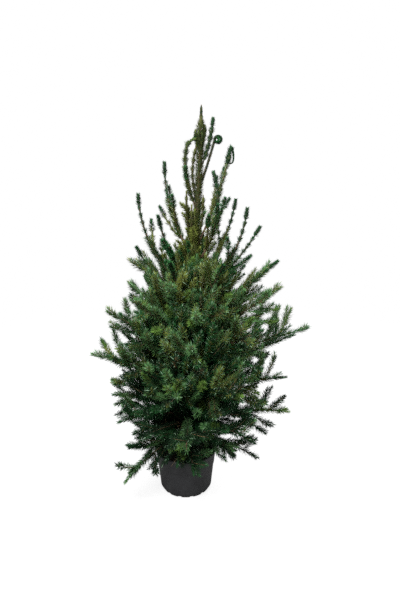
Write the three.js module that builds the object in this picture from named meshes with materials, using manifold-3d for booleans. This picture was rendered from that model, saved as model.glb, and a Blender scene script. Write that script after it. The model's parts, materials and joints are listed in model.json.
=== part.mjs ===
// A young Serbian spruce in a round black nursery pot.
// Millimetres and degrees, +Z up, origin under the middle of the pot, front of the tree towards -Y.
// Azimuth 0 points to +X, 90 to +Y. A bough's lift is its angle above level.

import * as THREE from "three";
import { mergeVertices } from "three/addons/utils/BufferGeometryUtils.js";
import Module from "manifold-3d";

const wasm = await Module();
wasm.setup();

// Pot: a tapering cup with a wider collar, a rolled rim and drain notches in its drawn-in foot
const POT_HEIGHT = 160;
const POT_RIM_RADIUS = 111;
const POT_FOOT_RADIUS = 95;
const POT_WALL = 2.2;
const POT_FLOOR = 4;
const COLLAR_HEIGHT = 56;
const COLLAR_STEP = 1.8;
const RIM_WIDTH = 4;
const RIM_HEIGHT = 6;
const FOOT_TUCK = 8;
const FOOT_RISE = 16;
const NOTCH_COUNT = 12;
const NOTCH_WIDTH = 13;
const NOTCH_HEIGHT = 7;
const NOTCH_DEPTH = 12;
const POT_SEGMENTS = 32;

// Soil: fills the pot to just under its rim and swells a little round the trunk
const SOIL_TOP = 142;
const SOIL_SAG = 5;
const SOIL_FLAT_RADIUS = 40;
const SEAT_GAP = 0.3;

// Trunk: one leaning stem from the soil to the bud at the top
const TREE_TOP = 1400;
const TRUNK_LEAN = 58;
const TRUNK_WANDER = 3;
const TRUNK_FOOT_RADIUS = 14;
const TRUNK_TIP_RADIUS = 1.5;
const FLARE_RADIUS = 9;
const FLARE_FADE = 16;
const TRUNK_SIDES = 8;
const TRUNK_STEPS = 16;
const TRUNK_CROWDING = 1.7;
const TRUNK_ROOM = 0.33;

// Boughs: thickness follows length, and the bare inner share of a main bough is a limb of its own
const BOUGH_STEPS = 16;
const BOUGH_ROOT_SHARE = 0.014;
const BOUGH_TRUNK_SHARE = 0.6;
const BOUGH_TIP_RADIUS = 1.4;
const BOUGH_WIDEST = 6;
const LIMB_SHARE = 0.24;
const LIMB_SIDES = 5;
const LIMB_STEPS = 3;

// Foliage: needled shoots that fork from a needled stem, all larger and fewer than life
const STEM_PITCH = 52;
const SHOOT_PITCH = 48;
const SHOOT_SHORTEST = 60;
const SHOOT_LONGEST = 150;
const SHOOT_BARE = 0.2;
const SHOOT_TRIES = 8;
const SHOOT_CUTS = [1, 0.8, 0.6, 0.45];
const SHOOT_FALLS_TO = 1.15;
const SHOOT_OUTER = [0.4, 0.7, 1];
const FIRST_FORK = 0.22;
const FORK_PAST_LIMB = 0.06;
const FORK_AT_ROOT = 1.3;
const FORK_AT_TIP = 0.7;
const FORK_VARIES = 0.4;
const NEAR_ONE = [0.85, 1.15];
const CORE_AT_ROOT = 0.15;
const CORE_SWELL = 2.4;
const CORE_FULL = 1.15;
const CORE_SLIMS = 0.5;
const CORE_CLEAR = 8;
const NEEDLE_CLEAR = 1.5;
const NEEDLE_KEPT = 0.66;
const NEEDLE_TIP_LOSS = 0.35;
const NEEDLE_CLOSING = 0.3;
const FLOOR_CLEAR = 10;
const SEED_STEP = 20;
const SHOOT_SEED_STEP = 100;

// Tiers of boughs from the soil up. A tier's boughs start at its height, each one climb higher than the last.
// lift is the angle at the trunk and at the tip. core is the radius of a shoot packed with needles, needle
// the length of those that stand out of it and spread their angle to it. A bough carries side shoots up to
// the share lastFork of its length, at about the angle fork. They reach for that share of it and bend up by
// rise. limb says whether a bough's inner end is bare wood, deep whether its needles are the deep green.
// A bough is [azimuth, length, lift added to the tier's, bend]. Its bend is taken off that lift at the trunk
// and added to it at the tip.
const TIERS = [
  {
    name: "skirt", seed: 26, height: 190, climb: 8, lift: [8, -38], limb: false, deep: true,
    core: 5, needle: 30, spread: 54, shoots: 5, fork: 46, lastFork: 0.8, reach: 0.55, rise: 0.3,
    boughs: [[352, 272, 4], [58, 240, 0], [150, 262, 2], [222, 305, -1], [278, 200, -3], [318, 225, 15]],
  },
  {
    name: "lower", seed: 45, height: 275, climb: 9, lift: [12, -10], limb: true, deep: true,
    core: 6, needle: 32, spread: 54, shoots: 6, fork: 46, lastFork: 0.8, reach: 0.55, rise: 0.3,
    boughs: [[2, 376, 3], [316, 315, 2], [270, 300, 3], [212, 285, 7], [157, 325, 0], [70, 310, 0]],
  },
  {
    name: "middle", seed: 33, height: 385, climb: 9, lift: [16, 8], limb: true, deep: true,
    core: 6, needle: 32, spread: 54, shoots: 6, fork: 46, lastFork: 0.8, reach: 0.55, rise: 0.3,
    boughs: [[345, 362, 4], [304, 320, 2], [260, 310, 4], [187, 372, 10], [118, 330, 0], [22, 450, 4]],
  },
  {
    name: "shoulder", seed: 35, height: 500, climb: 9, lift: [20, 18], limb: false, deep: true,
    core: 6, needle: 32, spread: 52, shoots: 6, fork: 44, lastFork: 0.75, reach: 0.55, rise: 0.3,
    boughs: [[8, 452, -4], [326, 335, 12], [272, 300, 8], [198, 352, 15], [100, 320, 8]],
  },
  {
    name: "waist", seed: 21, height: 580, climb: 10, lift: [34, 38], limb: false, deep: false,
    core: 6, needle: 30, spread: 50, shoots: 5, fork: 42, lastFork: 0.75, reach: 0.55, rise: 0.3,
    boughs: [[343, 392, 0], [290, 290, 4], [224, 320, 0], [164, 285, 2], [50, 330, 0]],
  },
  {
    name: "upper", seed: 22, height: 655, climb: 12, lift: [42, 52], limb: false, deep: false,
    core: 5.5, needle: 28, spread: 46, shoots: 5, fork: 36, lastFork: 0.65, reach: 0.5, rise: 0.5,
    boughs: [[354, 378, -9], [304, 300, 4], [248, 290, 6], [174, 305, 4, 6], [80, 320, 2]],
  },
  {
    name: "crown", seed: 31, height: 745, climb: 14, lift: [48, 76], limb: false, deep: false,
    core: 5, needle: 22, spread: 38, shoots: 3, fork: 34, lastFork: 0.5, reach: 0.3, rise: 1,
    boughs: [[10, 350, -16], [340, 380, -4, 12], [186, 398, 0, 13], [208, 290, 2], [40, 352, -8, 10]],
  },
  {
    name: "top", seed: 39, height: 866, climb: 28, lift: [62, 82], limb: false, deep: false,
    core: 4.5, needle: 20, spread: 34, shoots: 3, fork: 28, lastFork: 0.5, reach: 0.3, rise: 1,
    boughs: [[336, 345, 5, 22], [178, 340, 1, 8], [4, 366, 0]],
  },
  {
    name: "leader", seed: 31, height: 1062, climb: 62, lift: [70, 88], limb: false, deep: false,
    core: 4, needle: 17, spread: 30, shoots: 1, fork: 16, lastFork: 0.4, reach: 0.3, rise: 1,
    boughs: [[186, 230, 7, 17], [4, 190, -5, -4], [354, 176, -4]],
  },
];

// Leader: the needles round the top of the trunk, below its bare bud
const LEADER_START = 985;
const LEADER_END = 1372;
const LEADER_SLEEVE = 1.8;
const LEADER_NEEDLE = 27;
const LEADER_SPREAD = 38;
const LEAVING_SHARE = 0.4;

// A direction whose level part is this short, squared, counts as upright
const UPRIGHT = 0.05;

const UP = new THREE.Vector3(0, 0, 1);

const BARK = new THREE.MeshStandardMaterial({ color: 0x5b4a3a, roughness: 0.92, metalness: 0 });
const POT_PLASTIC = new THREE.MeshStandardMaterial({ color: 0x2e2e31, roughness: 0.6, metalness: 0 });
const PEAT = new THREE.MeshStandardMaterial({ color: 0x2a211a, roughness: 1, metalness: 0 });
const DEEP_NEEDLES = new THREE.MeshStandardMaterial({ color: 0x2f4a2b, roughness: 0.7, metalness: 0 });
const OLIVE_NEEDLES = new THREE.MeshStandardMaterial({ color: 0x4c5a2f, roughness: 0.7, metalness: 0 });

// Seeded share from 0 to 1: the given draw of the given seed
function chance(seed, draw) {
  const wave = Math.sin(seed * 12.9898 + draw * 78.233) * 43758.5453;
  return wave - Math.floor(wave);
}

// Seeded factor a little under or over one
function nearOne(seed, draw) {
  return THREE.MathUtils.lerp(...NEAR_ONE, chance(seed, draw));
}

function radians(degrees) {
  return THREE.MathUtils.degToRad(degrees);
}

// Closed solid from a geometry whose faces are closed once equal corners are merged
function solidFrom(geometry) {
  const bare = new THREE.BufferGeometry();
  bare.setAttribute("position", geometry.getAttribute("position"));
  bare.setIndex(geometry.getIndex());
  const merged = mergeVertices(bare, 1e-4);
  const corners = merged.getIndex().array;
  const triVerts = [];
  for (let i = 0; i < corners.length; i += 3) {
    const [a, b, c] = corners.slice(i, i + 3);
    if (a !== b && b !== c && c !== a) triVerts.push(a, b, c);
  }
  return new wasm.Manifold(
    new wasm.Mesh({
      numProp: 3,
      vertProperties: merged.getAttribute("position").array,
      triVerts: new Uint32Array(triVerts),
    }),
  );
}

function geometryFrom(solid) {
  const mesh = solid.getMesh();
  const geometry = new THREE.BufferGeometry();
  geometry.setAttribute("position", new THREE.BufferAttribute(mesh.vertProperties, 3));
  geometry.setIndex(new THREE.BufferAttribute(mesh.triVerts, 1));
  geometry.computeVertexNormals();
  return geometry;
}

function named(name, solid, material) {
  const mesh = new THREE.Mesh(geometryFrom(solid), material.clone());
  mesh.name = name;
  return mesh;
}

// Largest piece of a solid, so that a scrap cut loose by a neighbour's clearance is dropped
function largestPiece(solid) {
  return solid.decompose().sort((a, b) => b.volume() - a.volume())[0];
}

// Turned solid of a half section given as [radius, height] pairs from the axis round to the axis
function turned(section) {
  const points = section.map(([radius, height]) => new THREE.Vector2(radius, height));
  return solidFrom(new THREE.LatheGeometry(points, POT_SEGMENTS).rotateX(Math.PI / 2));
}

function potOuterRadius(height) {
  return POT_FOOT_RADIUS + ((POT_RIM_RADIUS - POT_FOOT_RADIUS) * height) / POT_HEIGHT;
}

function potInnerRadius(height) {
  return potOuterRadius(height) - POT_WALL;
}

function pot() {
  const collarFoot = POT_HEIGHT - COLLAR_HEIGHT;
  const rimFoot = POT_HEIGHT - RIM_HEIGHT;
  const bend = FOOT_RISE + POT_FLOOR;
  const cup = turned([
    [0, 0],
    [POT_FOOT_RADIUS - FOOT_TUCK, 0],
    [potOuterRadius(FOOT_RISE), FOOT_RISE],
    [potOuterRadius(collarFoot), collarFoot],
    [potOuterRadius(collarFoot) + COLLAR_STEP, collarFoot + COLLAR_STEP],
    [potOuterRadius(rimFoot) + COLLAR_STEP, rimFoot],
    [potOuterRadius(rimFoot) + RIM_WIDTH, rimFoot],
    [potOuterRadius(POT_HEIGHT) + RIM_WIDTH, POT_HEIGHT],
    [potInnerRadius(POT_HEIGHT), POT_HEIGHT],
    [potInnerRadius(bend), bend],
    [POT_FOOT_RADIUS - FOOT_TUCK, POT_FLOOR],
    [0, POT_FLOOR],
  ]);
  let notched = cup;
  for (let i = 0; i < NOTCH_COUNT; i++) {
    const turn = ((i + 0.5) / NOTCH_COUNT) * 2 * Math.PI;
    const notch = new THREE.BoxGeometry(2 * NOTCH_DEPTH, NOTCH_WIDTH, 2 * NOTCH_HEIGHT)
      .translate(POT_FOOT_RADIUS, 0, 0)
      .rotateZ(turn);
    notched = notched.subtract(solidFrom(notch));
  }
  return notched;
}

function soil() {
  const edge = SOIL_TOP - SOIL_SAG;
  const bend = FOOT_RISE + POT_FLOOR;
  return turned([
    [0, POT_FLOOR + SEAT_GAP],
    [POT_FOOT_RADIUS - FOOT_TUCK - 2 * SEAT_GAP, POT_FLOOR + SEAT_GAP],
    [potInnerRadius(bend) - 2 * SEAT_GAP, bend],
    [potInnerRadius(edge) - 2 * SEAT_GAP, edge],
    [SOIL_FLAT_RADIUS, SOIL_TOP],
    [0, SOIL_TOP],
  ]);
}

function trunkShare(height) {
  return (height - SOIL_TOP) / (TREE_TOP - SOIL_TOP);
}

function trunkPoint(height) {
  const share = trunkShare(height);
  const wander = TRUNK_WANDER * Math.sin(3 * Math.PI * share);
  return new THREE.Vector3(TRUNK_LEAN * share + wander, wander, height);
}

function trunkRadius(height) {
  const share = trunkShare(height);
  const taper = TRUNK_FOOT_RADIUS + (TRUNK_TIP_RADIUS - TRUNK_FOOT_RADIUS) * share;
  return taper + FLARE_RADIUS * Math.exp(-(height - SOIL_TOP) / FLARE_FADE);
}

// Round limb along a curve, from a cylinder whose rings are moved onto the curve, turned and sized there
function limb(pointAt, radiusAt, frameAt, sides, steps) {
  const cylinder = new THREE.CylinderGeometry(1, 1, 1, sides, steps);
  const corners = cylinder.getAttribute("position");
  const corner = new THREE.Vector3();
  for (let i = 0; i < corners.count; i++) {
    corner.fromBufferAttribute(corners, i);
    const share = corner.y + 0.5;
    const { across, over } = frameAt(share);
    const radius = radiusAt(share);
    const placed = pointAt(share)
      .addScaledVector(across, corner.x * radius)
      .addScaledVector(over, corner.z * radius);
    corners.setXYZ(i, placed.x, placed.y, placed.z);
  }
  return solidFrom(cylinder);
}

// Directions at a share of a curve: along it, across it near the wanted side, and over both
function frameOn(pointAt, share, side) {
  const step = 0.01;
  const along = pointAt(Math.min(1, share + step)).sub(pointAt(Math.max(0, share - step))).normalize();
  const across = side.clone().addScaledVector(along, -side.dot(along)).normalize();
  const over = new THREE.Vector3().crossVectors(across, along);
  return { along, across, over };
}

// Trunk with its radius let out by a margin, which gives the trunk itself or the room it needs.
// Its rings stay level, so its foot is flat, and crowd towards the root flare there.
function trunk(margin) {
  const foot = SOIL_TOP + SEAT_GAP;
  const heightAt = (share) => foot + (TREE_TOP - foot) * share ** TRUNK_CROWDING;
  const level = { across: new THREE.Vector3(1, 0, 0), over: new THREE.Vector3(0, -1, 0) };
  return limb(
    (share) => trunkPoint(heightAt(share)),
    (share) => trunkRadius(heightAt(share)) + margin,
    () => level,
    TRUNK_SIDES,
    TRUNK_STEPS,
  );
}

// Centre line of a bough: level steps out along its azimuth while its lift turns from root to tip
function boughAxis(height, azimuth, length, rootLift, tipLift) {
  const axis = [trunkPoint(height)];
  for (let step = 0; step < BOUGH_STEPS; step++) {
    const lift = radians(rootLift + ((tipLift - rootLift) * (step + 0.5)) / BOUGH_STEPS);
    const reach = (length / BOUGH_STEPS) * Math.cos(lift);
    const move = new THREE.Vector3(
      reach * Math.cos(radians(azimuth)),
      reach * Math.sin(radians(azimuth)),
      (length / BOUGH_STEPS) * Math.sin(lift),
    );
    axis.push(axis[step].clone().add(move));
  }
  return axis;
}

function pointOn(axis, share) {
  const place = THREE.MathUtils.clamp(share, 0, 1) * (axis.length - 1);
  const step = Math.min(Math.floor(place), axis.length - 2);
  return axis[step].clone().lerp(axis[step + 1], place - step);
}

function growBoughs() {
  const grown = [];
  for (const tier of TIERS) {
    tier.boughs.forEach(([azimuth, length, addedLift, bend = 0], index) => {
      const height = tier.height + tier.climb * index;
      const turn = radians(azimuth);
      const rootLift = tier.lift[0] + addedLift - bend;
      const tipLift = tier.lift[1] + addedLift + bend;
      grown.push({
        tier,
        label: `${tier.name}_${index + 1}`,
        seed: tier.seed * SEED_STEP + index,
        length,
        axis: boughAxis(height, azimuth, length, rootLift, tipLift),
        side: new THREE.Vector3(-Math.sin(turn), Math.cos(turn), 0),
        rootRadius: Math.min(
          length * BOUGH_ROOT_SHARE,
          BOUGH_TRUNK_SHARE * trunkRadius(height),
          BOUGH_WIDEST,
        ),
      });
    });
  }
  return grown;
}

function boughRadius(bough, share) {
  return bough.rootRadius + (BOUGH_TIP_RADIUS - bough.rootRadius) * share;
}

const boughs = growBoughs();
const leaderAxis = [LEADER_START, TREE_TOP].map(trunkPoint);

function distanceToAxis(axis, point) {
  let nearest = Infinity;
  const closest = new THREE.Vector3();
  for (let i = 0; i + 1 < axis.length; i++) {
    new THREE.Line3(axis[i], axis[i + 1]).closestPointToPoint(point, true, closest);
    nearest = Math.min(nearest, closest.distanceTo(point));
  }
  return nearest;
}

// A mass keeps the space nearer to its own centre line than to any other, clear of trunk, pot and floor
function inOwnSpace(ownAxis, point, clear) {
  const radial = Math.hypot(point.x, point.y);
  if (point.z < FLOOR_CLEAR) return false;
  if (point.z < POT_HEIGHT + clear && radial < POT_RIM_RADIUS + RIM_WIDTH + clear) return false;
  const fromOwn = distanceToAxis(ownAxis, point);
  const rivals = [leaderAxis, ...boughs.map((bough) => bough.axis)].filter((axis) => axis !== ownAxis);
  return rivals.every((axis) => distanceToAxis(axis, point) > Math.max(fromOwn, BOUGH_WIDEST) + 2 * clear);
}

// Reach of the sleeve's corners: a triangle round the trunk has corners at twice its distance from the middle
function sleeveRadius(height) {
  return 2 * (trunkRadius(height) + LEADER_SLEEVE);
}

function clearOfTrunk(point, clear) {
  const middle = trunkPoint(point.z);
  const sleeved = point.z > LEADER_START && point.z < LEADER_END;
  const radius = sleeved ? sleeveRadius(point.z) : trunkRadius(point.z);
  return Math.hypot(point.x - middle.x, point.y - middle.y) > radius + clear;
}

// Needled shoot: a slim three-sided core whose faces are drawn out into needles that lean towards its tip.
// Each ring is turned half a face from the last, so the needles stand on all sides.
function needledShoot({ pointAt, side, rings, radiusAt, needle, spread, bareShare, seed, keeps }) {
  const corners = [];
  const faces = [];
  const facets = 3;
  const addCorner = (point) => corners.push(point) - 1;
  const ringCorner = (ring, facet) => ring * facets + (facet % facets);
  for (let ring = 0; ring < rings; ring++) {
    const share = ring / rings;
    const { across, over } = frameOn(pointAt, share, side);
    for (let facet = 0; facet < facets; facet++) {
      const turn = radians(facet * 120 + ring * 60);
      addCorner(
        pointAt(share)
          .addScaledVector(across, radiusAt(share) * Math.cos(turn))
          .addScaledVector(over, -radiusAt(share) * Math.sin(turn)),
      );
    }
  }
  const tip = addCorner(pointAt(1));
  const drawOut = (a, b, c, share) => {
    const draw = faces.length;
    const foot = new THREE.Vector3().add(corners[a]).add(corners[b]).add(corners[c]).divideScalar(3);
    const { along } = frameOn(pointAt, share, side);
    const outward = foot.clone().sub(pointAt(share));
    outward.addScaledVector(along, -outward.dot(along)).normalize();
    const reach = needle * nearOne(seed, draw) * (1 - NEEDLE_TIP_LOSS * share ** 3);
    const lean = radians(spread * (1 - NEEDLE_CLOSING * share));
    const point = foot
      .clone()
      .addScaledVector(outward, reach * Math.sin(lean))
      .addScaledVector(along, reach * Math.cos(lean));
    const wanted = share > bareShare && chance(seed, draw + 0.5) < NEEDLE_KEPT;
    if (wanted && keeps(point) && keeps(foot.clone().lerp(point, 0.5))) {
      const end = addCorner(point);
      faces.push([a, b, end], [b, c, end], [c, a, end]);
    } else {
      faces.push([a, b, c]);
    }
  };
  faces.push([ringCorner(0, 2), ringCorner(0, 1), ringCorner(0, 0)]);
  for (let ring = 0; ring + 1 < rings; ring++) {
    for (let facet = 0; facet < facets; facet++) {
      const [a, b] = [ringCorner(ring, facet), ringCorner(ring, facet + 1)];
      const [c, d] = [ringCorner(ring + 1, facet), ringCorner(ring + 1, facet + 1)];
      drawOut(a, b, c, (ring + 1 / 3) / rings);
      drawOut(b, d, c, (ring + 2 / 3) / rings);
    }
  }
  for (let facet = 0; facet < facets; facet++) {
    drawOut(ringCorner(rings - 1, facet), ringCorner(rings - 1, facet + 1), tip, (rings - 2 / 3) / rings);
  }
  const geometry = new THREE.BufferGeometry();
  geometry.setAttribute(
    "position",
    new THREE.Float32BufferAttribute(corners.flatMap((corner) => corner.toArray()), 3),
  );
  geometry.setIndex(faces.flat());
  return solidFrom(geometry);
}

// Radius of a shoot's packed core: slim where it forks off, full from there, slimmer again towards the tip
function coreRadius(bough, share) {
  return bough.tier.core * Math.min(CORE_AT_ROOT + CORE_SWELL * share, CORE_FULL - CORE_SLIMS * share);
}

// Stem of a mass: the bough's own line from where the foliage starts to its tip, bare next to the trunk
function massStem(bough, start) {
  const pointAt = (share) => pointOn(bough.axis, start + (1 - start) * share);
  const rings = Math.max(3, Math.round(((1 - start) * bough.length) / STEM_PITCH));
  return needledShoot({
    pointAt,
    side: bough.side,
    rings,
    radiusAt: (share) => coreRadius(bough, share),
    needle: bough.tier.needle,
    spread: bough.tier.spread,
    bareShare: start > 0 ? 0 : 1 / rings,
    seed: bough.seed,
    keeps: (point) => inOwnSpace(bough.axis, point, NEEDLE_CLEAR) && clearOfTrunk(point, NEEDLE_CLEAR),
  });
}

// Line of a side shoot: it forks off the stem at a seeded angle and bends upward
function shootLine(bough, draw, root, length) {
  const { along, across, over } = frameOn((share) => pointOn(bough.axis, share), root, bough.side);
  const roll = 2 * Math.PI * chance(bough.seed, draw);
  const evenFork = THREE.MathUtils.lerp(FORK_AT_ROOT, FORK_AT_TIP, root);
  const fork = radians(bough.tier.fork * (evenFork + FORK_VARIES * chance(bough.seed, draw + 0.3)));
  const sideways = across.multiplyScalar(Math.cos(roll)).addScaledVector(over, Math.sin(roll));
  const heading = along.multiplyScalar(Math.cos(fork)).addScaledVector(sideways, Math.sin(fork));
  const from = pointOn(bough.axis, root);
  const pointAt = (share) =>
    from
      .clone()
      .addScaledVector(heading, length * share)
      .addScaledVector(UP, (length * bough.tier.rise * share * share) / 2);
  return { pointAt, heading, length, outer: SHOOT_OUTER.map(pointAt) };
}

// Longest cut of a side shoot whose core keeps to the mass's own space
function fittingLine(bough, draw, root) {
  const share = bough.tier.reach * (SHOOT_FALLS_TO - root) * nearOne(bough.seed, draw + 0.6);
  const wanted = THREE.MathUtils.clamp(share * bough.length, SHOOT_SHORTEST, SHOOT_LONGEST);
  const cuts = SHOOT_CUTS.map((cut) => shootLine(bough, draw, root, wanted * cut));
  return cuts.find(({ outer }) =>
    outer.every((point) => inOwnSpace(bough.axis, point, CORE_CLEAR) && clearOfTrunk(point, CORE_CLEAR)),
  );
}

// Side shoot in the most open of a few seeded directions, away from what the mass has grown already
function openLine(bough, index, root, grown) {
  const openness = ({ outer, length }) =>
    length * Math.min(...outer.flatMap((point) => grown.map((other) => other.distanceTo(point))));
  const draws = Array.from({ length: SHOOT_TRIES }, (_, k) => index * SHOOT_TRIES + k + 1);
  const tries = draws.map((draw) => fittingLine(bough, draw, root));
  return tries.filter(Boolean).sort((a, b) => openness(b) - openness(a))[0];
}

function sideShoot(bough, index, { pointAt, heading, length }) {
  const side = new THREE.Vector3().crossVectors(heading, UP);
  return needledShoot({
    pointAt,
    side: side.lengthSq() > UPRIGHT ? side : bough.side,
    rings: Math.max(3, Math.round(length / SHOOT_PITCH)),
    radiusAt: (share) => coreRadius(bough, share),
    needle: bough.tier.needle,
    spread: bough.tier.spread,
    bareShare: SHOOT_BARE,
    seed: bough.seed * SHOOT_SEED_STEP + index,
    keeps: (point) => inOwnSpace(bough.axis, point, NEEDLE_CLEAR) && clearOfTrunk(point, NEEDLE_CLEAR),
  });
}

// Mass of foliage: the stem with its side shoots fused on, cut clear of the trunk where it starts there
function mass(bough, room) {
  const gap = SEAT_GAP / bough.length;
  const start = bough.tier.limb ? LIMB_SHARE + gap : 0;
  const firstRoot = bough.tier.limb ? LIMB_SHARE + FORK_PAST_LIMB : FIRST_FORK;
  const grown = bough.axis.slice(Math.ceil(firstRoot * BOUGH_STEPS));
  let fused = massStem(bough, start);
  for (let index = 0; index < bough.tier.shoots; index++) {
    const root = firstRoot + ((bough.tier.lastFork - firstRoot) * index) / (bough.tier.shoots - 1 || 1);
    const line = openLine(bough, index, root, grown);
    if (!line) continue;
    grown.push(...line.outer);
    fused = fused.add(sideShoot(bough, index, line));
  }
  return largestPiece(bough.tier.limb ? fused : fused.subtract(room));
}

// Round tube along the first stretch of a bough, its radius let out by a margin
function boughTube(bough, stretch, margin) {
  const pointAt = (share) => pointOn(bough.axis, share * stretch);
  return limb(
    pointAt,
    (share) => boughRadius(bough, share * stretch) + margin,
    (share) => frameOn(pointAt, share, bough.side),
    LIMB_SIDES,
    LIMB_STEPS,
  );
}

// Bare inner limb of a main bough, cut clear of the trunk
function boughLimb(bough, room) {
  return largestPiece(boughTube(bough, LIMB_SHARE, 0).subtract(room));
}

// Needles round the leader: a sleeve cut clear of the trunk and of the shoots that leave it there
function leaderNeedles(room) {
  const heightAt = (share) => LEADER_START + (LEADER_END - LEADER_START) * share;
  const sleeve = needledShoot({
    pointAt: (share) => trunkPoint(heightAt(share)),
    side: new THREE.Vector3(1, 0, 0),
    rings: Math.round((LEADER_END - LEADER_START) / SHOOT_PITCH),
    radiusAt: (share) => sleeveRadius(heightAt(share)),
    needle: LEADER_NEEDLE,
    spread: LEADER_SPREAD,
    bareShare: 0,
    seed: 0,
    keeps: (point) => inOwnSpace(leaderAxis, point, NEEDLE_CLEAR),
  });
  const leaving = boughs.filter((bough) => bough.tier.name === "leader");
  const cleared = leaving.reduce(
    (solid, bough) => solid.subtract(boughTube(bough, LEAVING_SHARE, 2 * NEEDLE_CLEAR)),
    sleeve.subtract(room),
  );
  return largestPiece(cleared);
}

const tree = new THREE.Group();
const trunkRoom = trunk(TRUNK_ROOM);
tree.add(named("pot", pot(), POT_PLASTIC));
tree.add(named("soil", soil(), PEAT));
tree.add(named("trunk", trunk(0), BARK));
tree.add(named("leader_needles", leaderNeedles(trunkRoom), OLIVE_NEEDLES));
for (const bough of boughs) {
  const needles = bough.tier.deep ? DEEP_NEEDLES : OLIVE_NEEDLES;
  if (bough.tier.limb) tree.add(named(`bough_${bough.label}`, boughLimb(bough, trunkRoom), BARK));
  tree.add(named(`foliage_${bough.label}`, mass(bough, trunkRoom), needles));
}

export default tree;
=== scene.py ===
# %% [markdown]
# # A potted Serbian spruce
# The solids of a young spruce in a nursery pot give its trunk, its boughs and the space that each mass of
# foliage keeps. Here the same growth rule runs again and is carried on to fine twigs and single needles, and
# the trunk, the pot and the soil get their real surfaces.

import json
import math

import bpy
import numpy as np
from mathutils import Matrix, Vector, noise

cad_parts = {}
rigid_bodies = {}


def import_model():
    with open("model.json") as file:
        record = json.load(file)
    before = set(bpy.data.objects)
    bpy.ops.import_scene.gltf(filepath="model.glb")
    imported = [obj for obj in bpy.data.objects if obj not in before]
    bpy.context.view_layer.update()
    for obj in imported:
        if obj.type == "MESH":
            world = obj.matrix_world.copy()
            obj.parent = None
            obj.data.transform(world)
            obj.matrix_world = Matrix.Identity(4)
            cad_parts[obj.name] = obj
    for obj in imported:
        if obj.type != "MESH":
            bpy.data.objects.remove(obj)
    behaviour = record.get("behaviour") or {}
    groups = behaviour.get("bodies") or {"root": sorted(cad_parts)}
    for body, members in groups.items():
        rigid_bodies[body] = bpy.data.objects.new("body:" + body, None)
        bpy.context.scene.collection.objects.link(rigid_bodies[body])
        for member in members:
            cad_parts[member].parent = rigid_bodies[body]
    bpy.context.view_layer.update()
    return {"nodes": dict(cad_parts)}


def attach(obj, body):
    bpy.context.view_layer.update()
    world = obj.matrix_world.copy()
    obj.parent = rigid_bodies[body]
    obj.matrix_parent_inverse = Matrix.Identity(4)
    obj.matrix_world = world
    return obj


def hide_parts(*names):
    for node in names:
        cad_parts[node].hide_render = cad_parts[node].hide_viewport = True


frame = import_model()
print("solids loaded:", len(frame["nodes"]), "nodes")

# %% [markdown]
# ## Camera
# The photograph was taken from about two metres away, near the height of the tree's top and looking down.
# A camera could be aimed by eye, but the pot's ellipses and the plant's height give its place, its tilt and
# its lens, so these are written down as measured.

# %% Place the camera
IMAGE_HEIGHT = 600
FOCAL_PIXELS = 586.0
CAMERA_PLACE = (0.0536, -2.0, 1.30)
CAMERA_TILT = 15.58
SENSOR = 36.0
FAR_CLIP = 200.0
scene = bpy.context.scene


def add_object(name, data):
    thing = bpy.data.objects.new(name, data)
    scene.collection.objects.link(thing)
    return thing


lens = bpy.data.cameras.new("camera")
lens.sensor_width = SENSOR
lens.lens = SENSOR * FOCAL_PIXELS / IMAGE_HEIGHT
lens.clip_end = FAR_CLIP
camera = add_object("camera", lens)
camera.location = CAMERA_PLACE
camera.rotation_euler = (math.radians(90.0 - CAMERA_TILT), 0.0, 0.0)
scene.camera = camera
print("lens: %.1f mm" % lens.lens)

# %% [markdown]
# ## Helpers for materials
# Colours are picked in sRGB, as on a screen, while shaders count in linear light. One function turns the
# first into the second. Another adds a node with its settings and links, and a third lays the drifting tint
# that grown and weathered surfaces have, so that each material below is a short list.

# %% Colour and node helpers
# A mix node's sockets by number: its share, its two colours and its result.
MIX_SHARE, MIX_FIRST, MIX_SECOND, MIX_RESULT = 0, 6, 7, 2


def linear(hex_text):
    """An sRGB hex value as the linear colour that a shader takes, by the curve of the sRGB standard."""
    channels = [int(hex_text[start : start + 2], 16) / 255.0 for start in (1, 3, 5)]
    bent = [c / 12.92 if c <= 0.04045 else ((c + 0.055) / 1.055) ** 2.4 for c in channels]
    return (*bent, 1.0)


def add_node(tree, kind, inputs, output=0, **settings):
    """One output of a new shader node, whose inputs are set to values or linked from sockets."""
    node = tree.nodes.new("ShaderNode" + kind)
    for name, value in settings.items():
        setattr(node, name, value)
    for name, value in inputs.items():
        socket = node.inputs[name]
        if isinstance(value, bpy.types.NodeSocket):
            tree.links.new(value, socket)
        else:
            socket.default_value = value
    return node.outputs[output] if node.outputs else None


def new_material(name):
    material = bpy.data.materials.new(name)
    material.use_nodes = True
    material.node_tree.nodes.clear()
    return material, material.node_tree


def patchy_tint(tree, dark, light, look, low, high):
    """A pattern in the object's own space, and a tint that follows it from a dark to a light colour."""
    place = add_node(tree, "TexCoord", {}, "Object")
    pattern = add_node(tree, "TexNoise", {"Vector": place, **look})
    share = add_node(tree, "MapRange", {"Value": pattern, "From Min": low, "From Max": high})
    colours = {MIX_SHARE: share, MIX_FIRST: linear(dark), MIX_SECOND: linear(light)}
    return pattern, add_node(tree, "Mix", colours, MIX_RESULT, data_type="RGBA")


def add_surface(tree, inputs):
    skin = add_node(tree, "BsdfPrincipled", inputs)
    add_node(tree, "OutputMaterial", {"Surface": skin})


print("middle grey in linear light: %.3f" % linear("#808080")[0])

# %% [markdown]
# ## Floor and light
# The photograph is a cut-out on white. A pale matt floor under a pale sky comes close to that and still gives
# the pot a soft shadow to stand on. The floor turns into plain white further out, so no horizon shows, and it
# sends little light back up: the lower boughs are darker than the upper ones. One large soft panel above the
# camera gives the needles a lit side, and one behind the tree lights the back of the crown. The renderer's
# noise filter stays off, because it smears needles that are hardly a pixel wide.

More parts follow.
